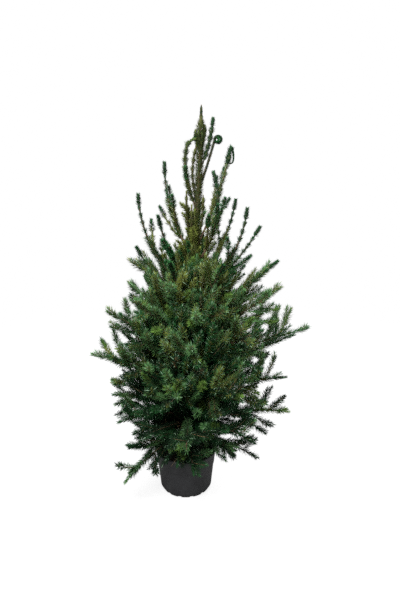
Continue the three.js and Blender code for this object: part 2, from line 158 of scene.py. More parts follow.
# %% Floor
FLOOR_SIZE = 60.0
SHADOW_REACH = 1.3
WHITE_REACH = 2.6
LEAST_WHITE = 0.84

half = FLOOR_SIZE / 2
corners = [(-half, -half, 0), (half, -half, 0), (half, half, 0), (-half, half, 0)]
sheet = bpy.data.meshes.new("floor")
sheet.from_pydata(corners, [], [(0, 1, 2, 3)])
floor = add_object("floor", sheet)
# To the eye: white paper with a faint shadow round the pot.
material, tree = new_material("matt_pale_floor")
place = add_node(tree, "TexCoord", {}, "Object")
reach = add_node(tree, "VectorMath", {0: place}, "Value", operation="LENGTH")
edges = {"Value": reach, "From Min": SHADOW_REACH, "From Max": WHITE_REACH}
fade = add_node(tree, "MapRange", edges, interpolation_type="SMOOTHSTEP")
share = add_node(tree, "MapRange", {"Value": fade, "To Min": LEAST_WHITE, "To Max": 1.0})
near = add_node(tree, "BsdfDiffuse", {"Color": linear("#f4f4f3")})
far = add_node(tree, "Emission", {"Color": linear("#ffffff")})
seen = add_node(tree, "MixShader", {0: share, 1: near, 2: far})
dull = add_node(tree, "BsdfDiffuse", {"Color": linear("#8c8c8a")})
to_eye = add_node(tree, "LightPath", {}, "Is Camera Ray")
add_node(tree, "OutputMaterial", {"Surface": add_node(tree, "MixShader", {0: to_eye, 1: dull, 2: seen})})
sheet.materials.append(material)
print("floor: %.0f m, its shadow fades from %.1f m on" % (FLOOR_SIZE, SHADOW_REACH))

# %% Light
SKY_STRENGTH = 0.4
PANEL_SIZE = 1.4
PIXEL_FILTER = 1.5
# Place, aim and power of each panel.
PANELS = (
    ((-0.4, -1.45, 2.6), (0.0, 0.0, 1.2), 150.0),
    ((1.0, 1.5, 2.4), (0.0, 0.0, 0.9), 110.0),
)

world = bpy.data.worlds.new("pale_sky")
world.use_nodes = True
tree = world.node_tree
tree.nodes.clear()
light = add_node(tree, "Background", {"Color": linear("#fbfcff"), "Strength": SKY_STRENGTH})
white = add_node(tree, "Background", {"Color": linear("#ffffff"), "Strength": 1.0})
to_eye = add_node(tree, "LightPath", {}, "Is Camera Ray")
add_node(tree, "OutputWorld", {"Surface": add_node(tree, "MixShader", {0: to_eye, 1: light, 2: white})})
scene.world = world
for index, (place, aim, power) in enumerate(PANELS):
    panel = bpy.data.lights.new("panel_%d" % (index + 1), "AREA")
    panel.size = PANEL_SIZE
    panel.energy = power
    holder = add_object(panel.name, panel)
    holder.location = place
    heading = Vector(aim) - Vector(place)
    holder.rotation_euler = heading.to_track_quat("-Z", "Y").to_euler()
scene.view_settings.view_transform = "Standard"
scene.cycles.use_denoising = False
scene.cycles.filter_width = PIXEL_FILTER
print("sky and", len(PANELS), "panels in place")

# %% [markdown]
# ## The growth rule
# A spruce grows in tiers: each spring its leader sets a ring of boughs. The tiers below are those that the
# solids were grown from, in millimetres and degrees, so the needles end up on the boughs that the solids
# have. Azimuth 0 points to the right of the picture and 270 to the viewer.
# A tier's row gives its name and seed, the height of its first bough and the climb to the next, the lift at
# root and tip, and the count, fork angle, last place, reach and rise of its side shoots. The last six values
# are new and belong to the fine growth: the needles' length and angle to the shoot, and the spacing, longest
# length, upward turn and last place of the fine twigs. A bough's row gives its azimuth, length, added lift
# and bend.

# %% Tiers of boughs
TIER_COLUMNS = (
    "name", "seed", "height", "climb", "lift", "shoots", "fork", "last_fork", "reach", "rise",
    "needle", "spread", "twig_step", "twig", "turn_up", "twig_last",
)
TIER_ROWS = (
    ("skirt", 26, 190, 8, (8, -38), 5, 46, 0.8, 0.55, 0.3, 22, 56, 54, 120, 0.0, 0.95),
    ("lower", 45, 275, 9, (12, -10), 6, 46, 0.8, 0.55, 0.3, 24, 54, 54, 145, 0.3, 0.95),
    ("middle", 33, 385, 9, (16, 8), 6, 46, 0.8, 0.55, 0.3, 24, 52, 54, 160, 0.6, 0.95),
    ("shoulder", 35, 500, 9, (20, 18), 6, 44, 0.75, 0.55, 0.3, 24, 51, 54, 160, 0.8, 0.95),
    ("waist", 21, 580, 10, (34, 38), 5, 42, 0.75, 0.55, 0.3, 24, 50, 54, 155, 0.9, 0.92),
    ("upper", 22, 655, 12, (42, 52), 5, 36, 0.65, 0.5, 0.5, 23, 49, 54, 120, 0.9, 0.8),
    ("crown", 31, 745, 14, (48, 76), 3, 34, 0.5, 0.3, 1.0, 20, 48, 55, 70, 0.7, 0.55),
    ("top", 39, 866, 28, (62, 82), 3, 28, 0.5, 0.3, 1.0, 20, 46, 60, 50, 0.7, 0.5),
    ("leader", 31, 1062, 62, (70, 88), 1, 16, 0.4, 0.3, 1.0, 10, 36, 90, 24, 0.7, 0.4),
)
BOUGH_ROWS = {
    "skirt": ((352, 272, 4), (58, 240, 0), (150, 262, 2), (222, 305, -1), (278, 200, -3), (318, 225, 15)),
    "lower": ((2, 376, 3), (316, 315, 2), (270, 300, 3), (212, 285, 7), (157, 325, 0), (70, 310, 0)),
    "middle": ((345, 362, 4), (304, 320, 2), (260, 310, 4), (187, 372, 10), (118, 330, 0), (22, 450, 4)),
    "shoulder": ((8, 452, -4), (326, 335, 12), (272, 300, 8), (198, 352, 15), (100, 320, 8)),
    "waist": ((343, 392, 0), (290, 290, 4), (224, 320, 0), (164, 285, 2), (50, 330, 0)),
    "upper": ((354, 378, -9), (304, 300, 4), (248, 290, 6), (174, 305, 4, 6), (80, 320, 2)),
    "crown": ((10, 350, -16), (340, 380, -4, 12), (186, 398, 0, 13), (208, 290, 2), (40, 352, -8, 10)),
    "top": ((336, 345, 5, 22), (178, 340, 1, 8), (4, 366, 0)),
    "leader": ((186, 230, 7, 17), (4, 190, -5, -4), (354, 176, -4)),
}
LIMB_TIERS = ("lower", "middle")

tiers = [dict(zip(TIER_COLUMNS, row)) for row in TIER_ROWS]
print("tiers:", len(tiers), "from", tiers[0]["height"], "to", tiers[-1]["height"], "mm")

# %% [markdown]
# ## Trunk and bough lines
# Every stem is first a plain line of points. The trunk leans a little and wanders. A bough is a chain of
# equal steps whose lift changes evenly from root to tip: drooping arms below, upright ones above. Blender's
# curves could hold these lines, but arrays of points are easier to measure and to branch from.

# %% Trunk line
MM = 0.001
RIGHT = np.array((1.0, 0.0, 0.0))
BACK = np.array((0.0, 1.0, 0.0))
UP = np.array((0.0, 0.0, 1.0))
SOIL_TOP = 142.0
TREE_TOP = 1400.0
TRUNK_LEAN = 58.0
TRUNK_WANDER = 3.0
TRUNK_HALF_WAVES = 3
TRUNK_FOOT_RADIUS = 14.0
TRUNK_TIP_RADIUS = 1.5
FLARE_RADIUS = 9.0
FLARE_FADE = 16.0


def unit(vectors):
    return vectors / np.linalg.norm(vectors, axis=-1, keepdims=True)


def trunk_share(heights):
    return (heights - SOIL_TOP) / (TREE_TOP - SOIL_TOP)


def trunk_points(heights):
    share = trunk_share(heights)
    wander = TRUNK_WANDER * np.sin(TRUNK_HALF_WAVES * math.pi * share)
    return np.stack((TRUNK_LEAN * share + wander, wander, heights), axis=-1)


def trunk_radius(heights):
    taper = TRUNK_FOOT_RADIUS + (TRUNK_TIP_RADIUS - TRUNK_FOOT_RADIUS) * trunk_share(heights)
    return taper + FLARE_RADIUS * np.exp(-(heights - SOIL_TOP) / FLARE_FADE)


print("trunk: %.0f mm thick at the soil" % (2 * trunk_radius(SOIL_TOP)))

# %% Bough lines
BOUGH_STEPS = 16
BOUGH_ROOT_SHARE = 0.014
BOUGH_TRUNK_SHARE = 0.6
BOUGH_WIDEST = 6.0
SEED_STEP = 20


def bough_line(height, azimuth, length, lifts):
    """Centre line of a bough: equal steps out along its azimuth, at the lift that each step has."""
    lift = np.radians(lifts)
    turn = math.radians(azimuth)
    level = np.cos(lift)
    heading = np.stack((level * math.cos(turn), level * math.sin(turn), np.sin(lift)), axis=-1)
    start = trunk_points(np.array(float(height)))
    return np.vstack((start, start + np.cumsum(heading * length / len(lifts), axis=0)))


def even_lifts(root_lift, tip_lift):
    return root_lift + (tip_lift - root_lift) * (np.arange(BOUGH_STEPS) + 0.5) / BOUGH_STEPS


def points_on(line, shares):
    """Points at shares of a line whose steps are equally long."""
    place = np.clip(shares, 0, 1) * (len(line) - 1)
    steps = np.arange(len(line))
    return np.stack([np.interp(place, steps, line[:, axis]) for axis in range(3)], axis=-1)


def line_length(line):
    return float(np.linalg.norm(np.diff(line, axis=0), axis=-1).sum())


def grow_bough(tier, index, azimuth, length, added, bend=0):
    height = tier["height"] + tier["climb"] * index
    turn = math.radians(azimuth)
    lifts = even_lifts(tier["lift"][0] + added - bend, tier["lift"][1] + added + bend)
    widest = BOUGH_TRUNK_SHARE * float(trunk_radius(height))
    return {
        "tier": tier,
        "label": "%s_%d" % (tier["name"], index + 1),
        "seed": tier["seed"] * SEED_STEP + index,
        "height": height,
        "azimuth": azimuth,
        "length": length,
        "lifts": lifts,
        "line": bough_line(height, azimuth, length, lifts),
        "side": np.array((-math.sin(turn), math.cos(turn), 0.0)),
        "radius": min(length * BOUGH_ROOT_SHARE, widest, BOUGH_WIDEST),
    }


boughs = []
for tier in tiers:
    boughs += [grow_bough(tier, index, *row) for index, row in enumerate(BOUGH_ROWS[tier["name"]])]
print("boughs:", len(boughs), "length: %.1f m" % (sum(bough["length"] for bough in boughs) * MM))

# %% [markdown]
# ## Side shoots
# Each bough sends out side shoots. Evenly spread ones would look combed, so each new shoot takes, of a few
# seeded directions, the one that is longest and most open. It stays in the space that is nearer to its own
# bough than to any other, as shoots do that need light. This is the rule of the solids once more, so the
# twigs grow where the solids have their masses.

# %% Where a shoot may grow
POT_HEIGHT = 160.0
POT_RIM_RADIUS = 111.0
RIM_WIDTH = 4.0
FLOOR_CLEAR = 10.0
LEADER_START = 985.0
LEADER_END = 1372.0
LEADER_SLEEVE = 1.8

leader_line = trunk_points(np.linspace(LEADER_START, TREE_TOP, BOUGH_STEPS + 1))
all_lines = np.stack([leader_line] + [bough["line"] for bough in boughs])
segment_starts = all_lines[:, :-1]
segment_spans = all_lines[:, 1:] - segment_starts
segment_squares = (segment_spans**2).sum(-1)


def distances_to_lines(points):
    """Distance of each point to the leader's line and to each bough's line."""
    gaps = points[:, None, None] - segment_starts
    share = np.clip((gaps * segment_spans).sum(-1) / segment_squares, 0, 1)
    return np.linalg.norm(gaps - share[..., None] * segment_spans, axis=-1).min(-1)


def clear_of_pot(points, clear):
    radial = np.hypot(points[:, 0], points[:, 1])
    in_pot = (points[:, 2] < POT_HEIGHT + clear) & (radial < POT_RIM_RADIUS + RIM_WIDTH + clear)
    return (points[:, 2] >= FLOOR_CLEAR) & ~in_pot


def clear_of_trunk(points, clear):
    middle = trunk_points(points[:, 2])
    sleeved = (points[:, 2] > LEADER_START) & (points[:, 2] < LEADER_END)
    radius = trunk_radius(points[:, 2])
    # The leader's sleeve is three-sided, so its corners are twice as far out as its sides.
    radius = np.where(sleeved, 2 * (radius + LEADER_SLEEVE), radius)
    return np.hypot(points[:, 0] - middle[:, 0], points[:, 1] - middle[:, 1]) > radius + clear


def in_own_space(place, points, clear):
    distances = distances_to_lines(points)
    own = np.maximum(distances[:, place], BOUGH_WIDEST)
    rivals = np.delete(distances, place, axis=1).min(1)
    return (rivals > own + 2 * clear) & clear_of_pot(points, clear)


print("lines that share out the space:", len(all_lines))

# %% Grow the side shoots
CHANCE_WAVE = (12.9898, 78.233, 43758.5453)
SHOOT_SHORTEST = 60.0
SHOOT_LONGEST = 150.0
SHOOT_TRIES = 8
SHOOT_CUTS = (1.0, 0.8, 0.6, 0.45)
SHOOT_POINTS = 11
OUTER_POINTS = [4, 7, 10]
CORE_CLEAR = 8.0
LIMB_FIRST_FORK = 0.3
FIRST_FORK = 0.22
HEADING_SPAN = 0.01
FORK_AT_ROOT = 1.3
FORK_FALL = 0.6
FORK_SPREAD = 0.4
FORK_DRAW = 0.3
REACH_AT_ROOT = 1.15
REACH_LEAST = 0.85
REACH_SPREAD = 0.3
REACH_DRAW = 0.6


def chance(seed, draw):
    """A seeded share from 0 to 1: the given draw of the given seed."""
    wave = math.sin(seed * CHANCE_WAVE[0] + draw * CHANCE_WAVE[1]) * CHANCE_WAVE[2]
    return wave - math.floor(wave)


def frame_on(line, share, side):
    """Directions at a share of a line: along it, across it near the wanted side, and over both."""
    ends = points_on(line, np.array((share + HEADING_SPAN, share - HEADING_SPAN)))
    along = unit(ends[0] - ends[1])
    across = unit(side - along * side.dot(along))
    return along, across, np.cross(across, along)


def shoot_line(bough, draw, root, length):
    """Line of a side shoot: it forks off its bough at a seeded angle and bends upward."""
    along, across, over = frame_on(bough["line"], root, bough["side"])
    roll = math.tau * chance(bough["seed"], draw)
    widening = FORK_AT_ROOT - FORK_FALL * root + FORK_SPREAD * chance(bough["seed"], draw + FORK_DRAW)
    fork = math.radians(bough["tier"]["fork"] * widening)
    sideways = across * math.cos(roll) + over * math.sin(roll)
    heading = along * math.cos(fork) + sideways * math.sin(fork)
    share = np.linspace(0, 1, SHOOT_POINTS)[:, None]
    start = points_on(bough["line"], np.array(root))
    return start + heading * length * share + UP * length * bough["tier"]["rise"] * share**2 / 2


def fitting_line(place, bough, draw, root):
    """Longest cut of a side shoot that keeps to its bough's own space, or nothing."""
    varied = REACH_LEAST + REACH_SPREAD * chance(bough["seed"], draw + REACH_DRAW)
    share = bough["tier"]["reach"] * (REACH_AT_ROOT - root) * varied
    wanted = min(max(share * bough["length"], SHOOT_SHORTEST), SHOOT_LONGEST)
    for cut in SHOOT_CUTS:
        line = shoot_line(bough, draw, root, wanted * cut)
        outer = line[OUTER_POINTS]
        if in_own_space(place, outer, CORE_CLEAR).all() and clear_of_trunk(outer, CORE_CLEAR).all():
            return line
    return None


def side_shoots(place, bough):
    tier = bough["tier"]
    first = LIMB_FIRST_FORK if tier["name"] in LIMB_TIERS else FIRST_FORK
    grown = bough["line"][math.ceil(first * BOUGH_STEPS) :]
    lines = []
    for index in range(tier["shoots"]):
        root = first + (tier["last_fork"] - first) * index / max(tier["shoots"] - 1, 1)
        draws = range(index * SHOOT_TRIES + 1, (index + 1) * SHOOT_TRIES + 1)
        tries = [fitting_line(place, bough, draw, root) for draw in draws]
        tries = [line for line in tries if line is not None]
        if tries:
            outers = [line[OUTER_POINTS] for line in tries]
            gaps = [np.linalg.norm(outer[:, None] - grown, axis=-1).min() for outer in outers]
            best = int(np.argmax([line_length(line) * gap for line, gap in zip(tries, gaps)]))
            grown = np.vstack((grown, outers[best]))
            lines.append(tries[best])
    return lines


for place, bough in enumerate(boughs):
    bough["shoots"] = side_shoots(place + 1, bough)
print("side shoots:", sum(len(bough["shoots"]) for bough in boughs))

# %% [markdown]
# ## Curled tips
# Three of the uppermost shoots don't end straight: one arches over to the leader, one makes a hook, and one
# ends in a tight coil. A curl is a lift that keeps turning, so the bough line takes a longer list of lifts
# and nothing else changes. Each curl is a new length, and turns in degrees at shares of that length.

# %% Curl three tips
CURL_STEPS = 96
CURLS = {
    "top_3": (426.0, ((0.852, 0.0), (0.866, -148.0), (0.965, -180.0), (1.0, -275.0))),
    "leader_1": (272.0, ((0.76, 0.0), (1.0, 85.0))),
    "leader_2": (300.0, ((0.593, 0.0), (0.813, -350.0), (0.94, -720.0), (1.0, -900.0))),
}


def curled_line(bough, length, turns):
    share = (np.arange(CURL_STEPS) + 0.5) / CURL_STEPS
    lifts = np.interp(share, (np.arange(BOUGH_STEPS) + 0.5) / BOUGH_STEPS, bough["lifts"])
    return bough_line(bough["height"], bough["azimuth"], length, lifts + np.interp(share, *zip(*turns)))


for bough in boughs:
    if bough["label"] in CURLS:
        bough["line"] = curled_line(bough, *CURLS[bough["label"]])
print("curled tips:", len(CURLS))

# %% [markdown]
# ## The dark gap
# Low at the front two boughs part, and the eye looks into the unlit inside of the crown. A black patch would
# show for what it is from the side. So the gap is a real tunnel here: no fine line may enter it, and the
# shoots round its far end get the darkest needles, as painted shade.

# %% Keep the gap open
HOLLOW_END = np.array((-44.0, -140.0, 343.0))
HOLLOW_MOUTH = np.array((-30.0, -400.0, 478.0))
HOLLOW_RADIUS = 46.0
HOLLOW_DARK = 0.4
HOLLOW_WALL = 58.0


def hollow_place(points):
    """How far along the hollow each point lies, as a share from its end to its mouth, and how far off it."""
    reach = HOLLOW_MOUTH - HOLLOW_END
    share = (points - HOLLOW_END) @ reach / (reach @ reach)
    nearest = HOLLOW_END + np.clip(share, 0, 1)[:, None] * reach
    return share, np.linalg.norm(points - nearest, axis=-1)


def clear_of_hollow(points):
    return (hollow_place(points)[1] > HOLLOW_RADIUS).all()


def walls_hollow(points):
    """Whether a line lies round the far part of the hollow, where hardly any light comes."""
    share, away = hollow_place(points)
    return bool(((share < HOLLOW_DARK) & (away < HOLLOW_WALL)).any())


print("gap: %.0f mm deep" % np.linalg.norm(HOLLOW_MOUTH - HOLLOW_END))

# %% [markdown]
# ## Fine twigs
# The solids stop at the side shoots. On the plant each of these carries short twigs, most of them on its two
# sides and some on top, longest near its foot and nearly in line with it, so that a spray reads as one long
# brush. The crown has a full body, and only slender arms reach past it: a twig whose tip would leave the body
# is shorter and lies closer to its arm. All twigs are plain lines here, and bark and needles follow them.

# %% Rule of the fine twigs
RANDOM_SEED = 11
TWIG_SHORTEST = 30.0
TWIG_FORK = 25.0
TWIG_FORK_RANGE = (0.7, 1.15)
TWIG_LENGTH_RANGE = (0.8, 1.15)
TWIG_ROOT_RANGE = (0.1, 0.9)
TWIG_LIFT = (0.15, 0.4)
TWIG_TURN_UP = 0.6
TWIG_POINTS = 5
TWIG_ROOT_POINTS = 2
TWIG_CLEAR = 4.0
BEND_ALONG = 0.2
BEND_UP = 0.1
BEND_TURN_UP = 0.4
BODY_HEIGHTS = (90.0, 165.0, 275.0, 437.0, 592.0, 742.0, 896.0, 1000.0, 1150.0)
BODY_RADII = (110.0, 210.0, 255.0, 280.0, 270.0, 195.0, 135.0, 110.0, 100.0)
ARM_TWIG_SHARE = 0.68
ARM_HUG = 1.3
HANDS = (-1.0, 1.0, -1.0, 1.0, 0.0)
UPRIGHT = 0.2
rng = np.random.default_rng(RANDOM_SEED)


def level_side(heading, fallback):
    """Level direction across a heading, or the fallback where the heading is upright."""
    level = np.cross(heading, UP)
    return unit(level) if np.linalg.norm(level) > UPRIGHT else fallback


def side_of(line, fallback):
    return level_side(unit(line[-1] - line[0]), fallback)


def leaves_body(tip):
    middle = trunk_points(tip[2])
    radius = np.interp(tip[2], BODY_HEIGHTS, BODY_RADII)
    return np.hypot(tip[0] - middle[0], tip[1] - middle[1]) > radius


def may_grow(points):
    clear = clear_of_pot(points, TWIG_CLEAR) & clear_of_trunk(points, TWIG_CLEAR)
    return clear.all() and clear_of_hollow(points)


def fine_twigs(parent, side, tier, first, fullness):
    """Short twigs beside and over a shoot, from the share first of its length to near its tip."""
    length = line_length(parent)
    last = tier["twig_last"]
    count = int((last - first) * length / tier["twig_step"])
    share = np.linspace(0, 1, TWIG_POINTS)[:, None]
    made = []
    for index in range(count):
        root = first + (last - first) * (index + rng.uniform(*TWIG_ROOT_RANGE)) / count
        along, across, over = frame_on(parent, root, side)
        hand = HANDS[index % len(HANDS)]
        beside = unit(across * hand + over * (rng.normal(*TWIG_LIFT) if hand else 1.0))
        fork = math.radians(TWIG_FORK * rng.uniform(*TWIG_FORK_RANGE))
        turn_up = UP * TWIG_TURN_UP * tier["turn_up"]
        heading = unit(along * math.cos(fork) + beside * math.sin(fork) + turn_up)
        reach = min(tier["twig"], TWIG_SHORTEST + fullness * (1 - root) * length)
        reach = reach * rng.uniform(*TWIG_LENGTH_RANGE)
        start = points_on(parent, np.array(root))
        if leaves_body(start + heading * reach):
            heading = unit(heading + along * ARM_HUG)
            reach = reach * ARM_TWIG_SHARE
        bend = along * BEND_ALONG + UP * (BEND_UP + BEND_TURN_UP * tier["turn_up"])
        line = start + heading * reach * share + bend * reach * share**2 / 2
        if may_grow(line[TWIG_ROOT_POINTS:]):
            made.append(line)
    return made


print("crown's body: up to %.0f mm from the trunk" % max(BODY_RADII))

# %% [markdown]
# ## Inner twigs
# Short twigs also grow straight from the trunk between the tiers, which is why hardly any daylight shows
# through the lower crown. Scattered by chance they would leave holes and tangles, so each one takes the most
# open of a few seeded directions. Most of them rise more steeply than the boughs at their height.

# %% Rule of the inner twigs
INNER_COUNT = 270
INNER_TRIES = 9
INNER_OUTER = [8, 12, 16]
INNER_SPACING = (0.0, 0.16, 0.78, 0.96, 1.0)
INNER_PLACES = (200.0, 255.0, 640.0, 830.0, 1000.0)
INNER_HEIGHTS = (200.0, 300.0, 520.0, 620.0, 720.0, 820.0, 920.0, 1010.0)
INNER_REACH = (200.0, 290.0, 305.0, 270.0, 205.0, 150.0, 130.0, 100.0)
INNER_LENGTH_RANGE = (0.7, 1.05)
INNER_LIFT = (-2.0, 40.0)
INNER_CURVE = 20.0

tier_heights = [tier["height"] for tier in tiers]
root_lifts, tip_lifts = zip(*(tier["lift"] for tier in tiers))


def inner_line(height):
    root_lift = np.interp(height, tier_heights, root_lifts)
    tip_lift = np.interp(height, tier_heights, tip_lifts)
    length = np.interp(height, INNER_HEIGHTS, INNER_REACH) * rng.uniform(*INNER_LENGTH_RANGE)
    lifts = even_lifts(root_lift, tip_lift + INNER_CURVE) + rng.uniform(*INNER_LIFT)
    return bough_line(height, rng.uniform(0, 360), length, lifts)


def inner_twigs():
    grown = np.vstack([line for bough in boughs for line in (bough["line"], *bough["shoots"])])
    lines = []
    for height in np.interp(np.linspace(0, 1, INNER_COUNT), INNER_SPACING, INNER_PLACES):
        tries = [inner_line(height) for _ in range(INNER_TRIES)]
        tries = [line for line in tries if clear_of_pot(line, TWIG_CLEAR).all() and clear_of_hollow(line)]
        if tries:
            outers = [line[INNER_OUTER] for line in tries]
            gaps = [np.linalg.norm(outer[:, None] - grown, axis=-1).min(1).mean() for outer in outers]
            best = tries[int(np.argmax(gaps))]
            grown = np.vstack((grown, best))
            lines.append(best)
    return lines


def tier_at(height):
    return tiers[int(np.argmin(np.abs(np.array(tier_heights) - height)))]


print("inner twigs wanted:", INNER_COUNT)

# %% [markdown]
# ## Rim shoots, stems and whorl
# Some growth has no place in the tiers: shoots that hang over the rim of the pot all round, a few slender
# stems beside the leader, and the whorl of short shoots under the leader's tip. They are few, so each is a
# row of its height on the trunk, its azimuth and its length, with the lift at root and tip.

# %% Place the shoots outside the tiers
RIM_LIFTS = (15, -52)
WHORL_LIFTS = (64, 90)
RIM_SHOOTS = (
    (215, 287, 150), (222, 272, 142), (212, 257, 156), (228, 242, 168), (214, 228, 188), (232, 213, 196),
    (238, 264, 140), (218, 100, 165), (226, 70, 160), (214, 128, 170), (230, 155, 165), (222, 40, 160),
    (236, 115, 150), (240, 185, 150), (250, 106, 150), (258, 82, 150),
)
STEMS = (
    (1085, 182, 200, 70, 110), (905, 194, 215, 74, 92), (885, 250, 190, 74, 94), (930, 340, 180, 68, 92),
    (895, 160, 170, 72, 96),
)
WHORL = ((1252, 186, 66), (1266, 15, 68), (1246, 300, 62), (1258, 245, 56), (1250, 95, 62))


def lines_from_rows(rows, *shared):
    """A line for each row of height, azimuth and length, with lifts of its own or shared ones."""
    rows = [(*row, *shared) for row in rows]
    return [bough_line(height, turn, length, even_lifts(*lifts)) for height, turn, length, *lifts in rows]


rim_lines = lines_from_rows(RIM_SHOOTS, *RIM_LIFTS)
stem_lines = lines_from_rows(STEMS)
whorl_lines = lines_from_rows(WHORL, *WHORL_LIFTS)
print("rim shoots:", len(rim_lines), "stems:", len(stem_lines), "whorl:", len(whorl_lines))

# %% Gather every shoot of the crown
BOUGH, SHOOT, TWIG = 0, 1, 2
BOUGH_BARE = 0.22
SHOOT_BARE = 0.05
INNER_BARE = 0.25
BOUGH_FIRST_TWIG = 0.24
SHOOT_FIRST_TWIG = 0.12
SHOOT_RADIUS = 2.0
TWIG_RADIUS = 1.1
BOUGH_FULLNESS = 0.42
SHOOT_FULLNESS = 0.7
INNER_FULLNESS = 0.62
DEAD_SHARE = 0.06
DEAD_TIERS = ("skirt", "lower", "middle", "shoulder")
STEM_LABEL = "stem"
WHORL_LABEL = "whorl"
INNER_LABEL = "inner"
SHOOT_COLUMNS = ("line", "tier", "side", "order", "radius", "bare", "label")
shoots = []


def add_shoot(*values, label=""):
    shoots.append(dict(zip(SHOOT_COLUMNS, (*values, label))))


def add_twigs(parent, tier, side, first, fullness):
    for twig in fine_twigs(parent, side, tier, first, fullness):
        dead = tier["name"] in DEAD_TIERS and rng.random() < DEAD_SHARE
        add_shoot(twig, tier, side_of(twig, side), TWIG, TWIG_RADIUS, 1.0 if dead else 0.0)


for bough in boughs:
    tier = bough["tier"]
    add_shoot(bough["line"], tier, bough["side"], BOUGH, bough["radius"], BOUGH_BARE, label=bough["label"])
    add_twigs(bough["line"], tier, bough["side"], BOUGH_FIRST_TWIG, BOUGH_FULLNESS)
    for line in filter(clear_of_hollow, bough["shoots"]):
        side = side_of(line, bough["side"])
        add_shoot(line, tier, side, SHOOT, SHOOT_RADIUS, SHOOT_BARE)
        add_twigs(line, tier, side, SHOOT_FIRST_TWIG, SHOOT_FULLNESS)
for line in rim_lines:
    side = side_of(line, RIGHT)
    add_shoot(line, tiers[0], side, SHOOT, SHOOT_RADIUS, INNER_BARE)
    add_twigs(line, tiers[0], side, INNER_BARE, BOUGH_FULLNESS)
for line in stem_lines:
    add_shoot(line, tiers[-1], BACK, SHOOT, SHOOT_RADIUS, 0.0, label=STEM_LABEL)
for line in whorl_lines:
    add_shoot(line, tiers[-1], BACK, TWIG, TWIG_RADIUS, 0.0, label=WHORL_LABEL)
for line in inner_twigs():
    tier = tier_at(line[0, 2])
    side = side_of(line, RIGHT)
    add_shoot(line, tier, side, SHOOT, SHOOT_RADIUS, INNER_BARE, label=INNER_LABEL)
    add_twigs(line, tier, side, INNER_BARE, INNER_FULLNESS)
print("shoots:", len(shoots), "length: %.1f m" % (sum(line_length(s["line"]) for s in shoots) * MM))

# %% [markdown]
# ## Needle sprays
# The colour of a spruce has a place: nearly black inside and below, green in the middle, olive towards the
# Each shoot is dealt one plain colour by its height: nearly black low down, green in the middle, olive
# towards the top. The near-black low down and inside the crown is painted shade, standing for the light that
# hardly gets there.
# Single pale needles, partly the plant's silvery grey and partly painted highlight, and a core of short old
# ones are mixed in. Low brushes of olive or fresh green get plain green as well, or they would be blotches.
# The upper ones show two years: a thick stretch of old needles, then a
# thin young stretch with small knobs, and a plump bud end. The named shoots have rows of their own: first and
# last share of the shoot, needle length, angle to the shoot, density, colour and depth of the knobs.

# %% Colours by height
COLOURS = ("shade", "deep", "mid", "fresh", "olive", "silver", "brown")
COLOUR_HEIGHTS = (380.0, 590.0, 800.0, 950.0)
COLOUR_SHARES = {
    # The shade share, high at the bottom, and part of the deep share darken the low crown: painted shade.
    "shade": (0.58, 0.12, 0.00, 0.00),
    "deep": (0.28, 0.34, 0.14, 0.06),
    "mid": (0.08, 0.34, 0.38, 0.18),
    "fresh": (0.03, 0.05, 0.06, 0.06),
    "olive": (0.03, 0.15, 0.42, 0.70),
}
AGED_TIERS = ("upper", "crown", "top")
THIN_TIERS = ("crown", "top", "leader")
BLENDED = ("olive", "fresh")
BLEND_SHARE = 0.55


def deal_colour(height):
    shares = np.array([np.interp(height, COLOUR_HEIGHTS, row) for row in COLOUR_SHARES.values()])
    return COLOURS[rng.choice(len(shares), p=shares / shares.sum())]


def blend(colour, tier):
    """The colours of a brush and their shares."""
    if tier["name"] in AGED_TIERS + THIN_TIERS or colour not in BLENDED:
        return ((colour, 1.0),)
    return ((colour, BLEND_SHARE), ("mid", 1 - BLEND_SHARE))


print("colours dealt out by height:", ", ".join(COLOUR_SHARES))

# %% Sprays of the named shoots
THIN_KNOBS = 0.5
STEM_KNOBS = 0.3
SPRAY_COLUMNS = ("first", "last", "needle", "spread", "density", "colour", "knobs")
NAMED_SPRAYS = {
    "leader_1": ((0.1, 1.0, 15, 46, 1.4, "olive", STEM_KNOBS), (0.1, 0.95, 15, 46, 1.0, "deep", STEM_KNOBS)),
    "leader_2": (
        (0.1, 0.6, 9, 40, 0.605, "brown"),
        (0.1, 0.6, 7, 38, 2.62, "shade"),
        (0.593, 0.825, 6, 58, 7.045, "shade"),
        (0.825, 1.0, 10, 72, 4.34, "deep"),
    ),
    "leader_3": (
        (BOUGH_BARE, 0.95, 14, 48, 2.2, "deep", STEM_KNOBS),
        (BOUGH_BARE, 0.8, 13, 48, 0.8, "olive", STEM_KNOBS),
        (0.86, 1.0, 14, 84, 3.0, "deep"),
    ),
    "top_3": (
        (BOUGH_BARE, 0.5, 22, 46, 1.5, "olive"),
        (0.5, 0.77, 13, 44, 1.1, "olive", THIN_KNOBS),
        (0.5, 0.77, 13, 44, 0.5, "silver", THIN_KNOBS),
        (0.72, 0.852, 17, 52, 2.8, "deep"),
        (0.852, 1.0, 6, 58, 7.0, "shade"),
    ),
    STEM_LABEL: ((0.0, 1.0, 12, 46, 1.4, "olive", THIN_KNOBS), (0.0, 1.0, 11, 44, 0.6, "brown")),
    WHORL_LABEL: ((0.0, 1.0, 13, 46, 2.0, "olive"), (0.2, 1.0, 13, 50, 1.2, "deep")),
}


def spray(*values):
    """One stretch of needles, with no knobs where no depth is given for them."""
    return dict(zip(SPRAY_COLUMNS, (*values, 0.0)))


print("shoots with needles of their own kind:", ", ".join(NAMED_SPRAYS))

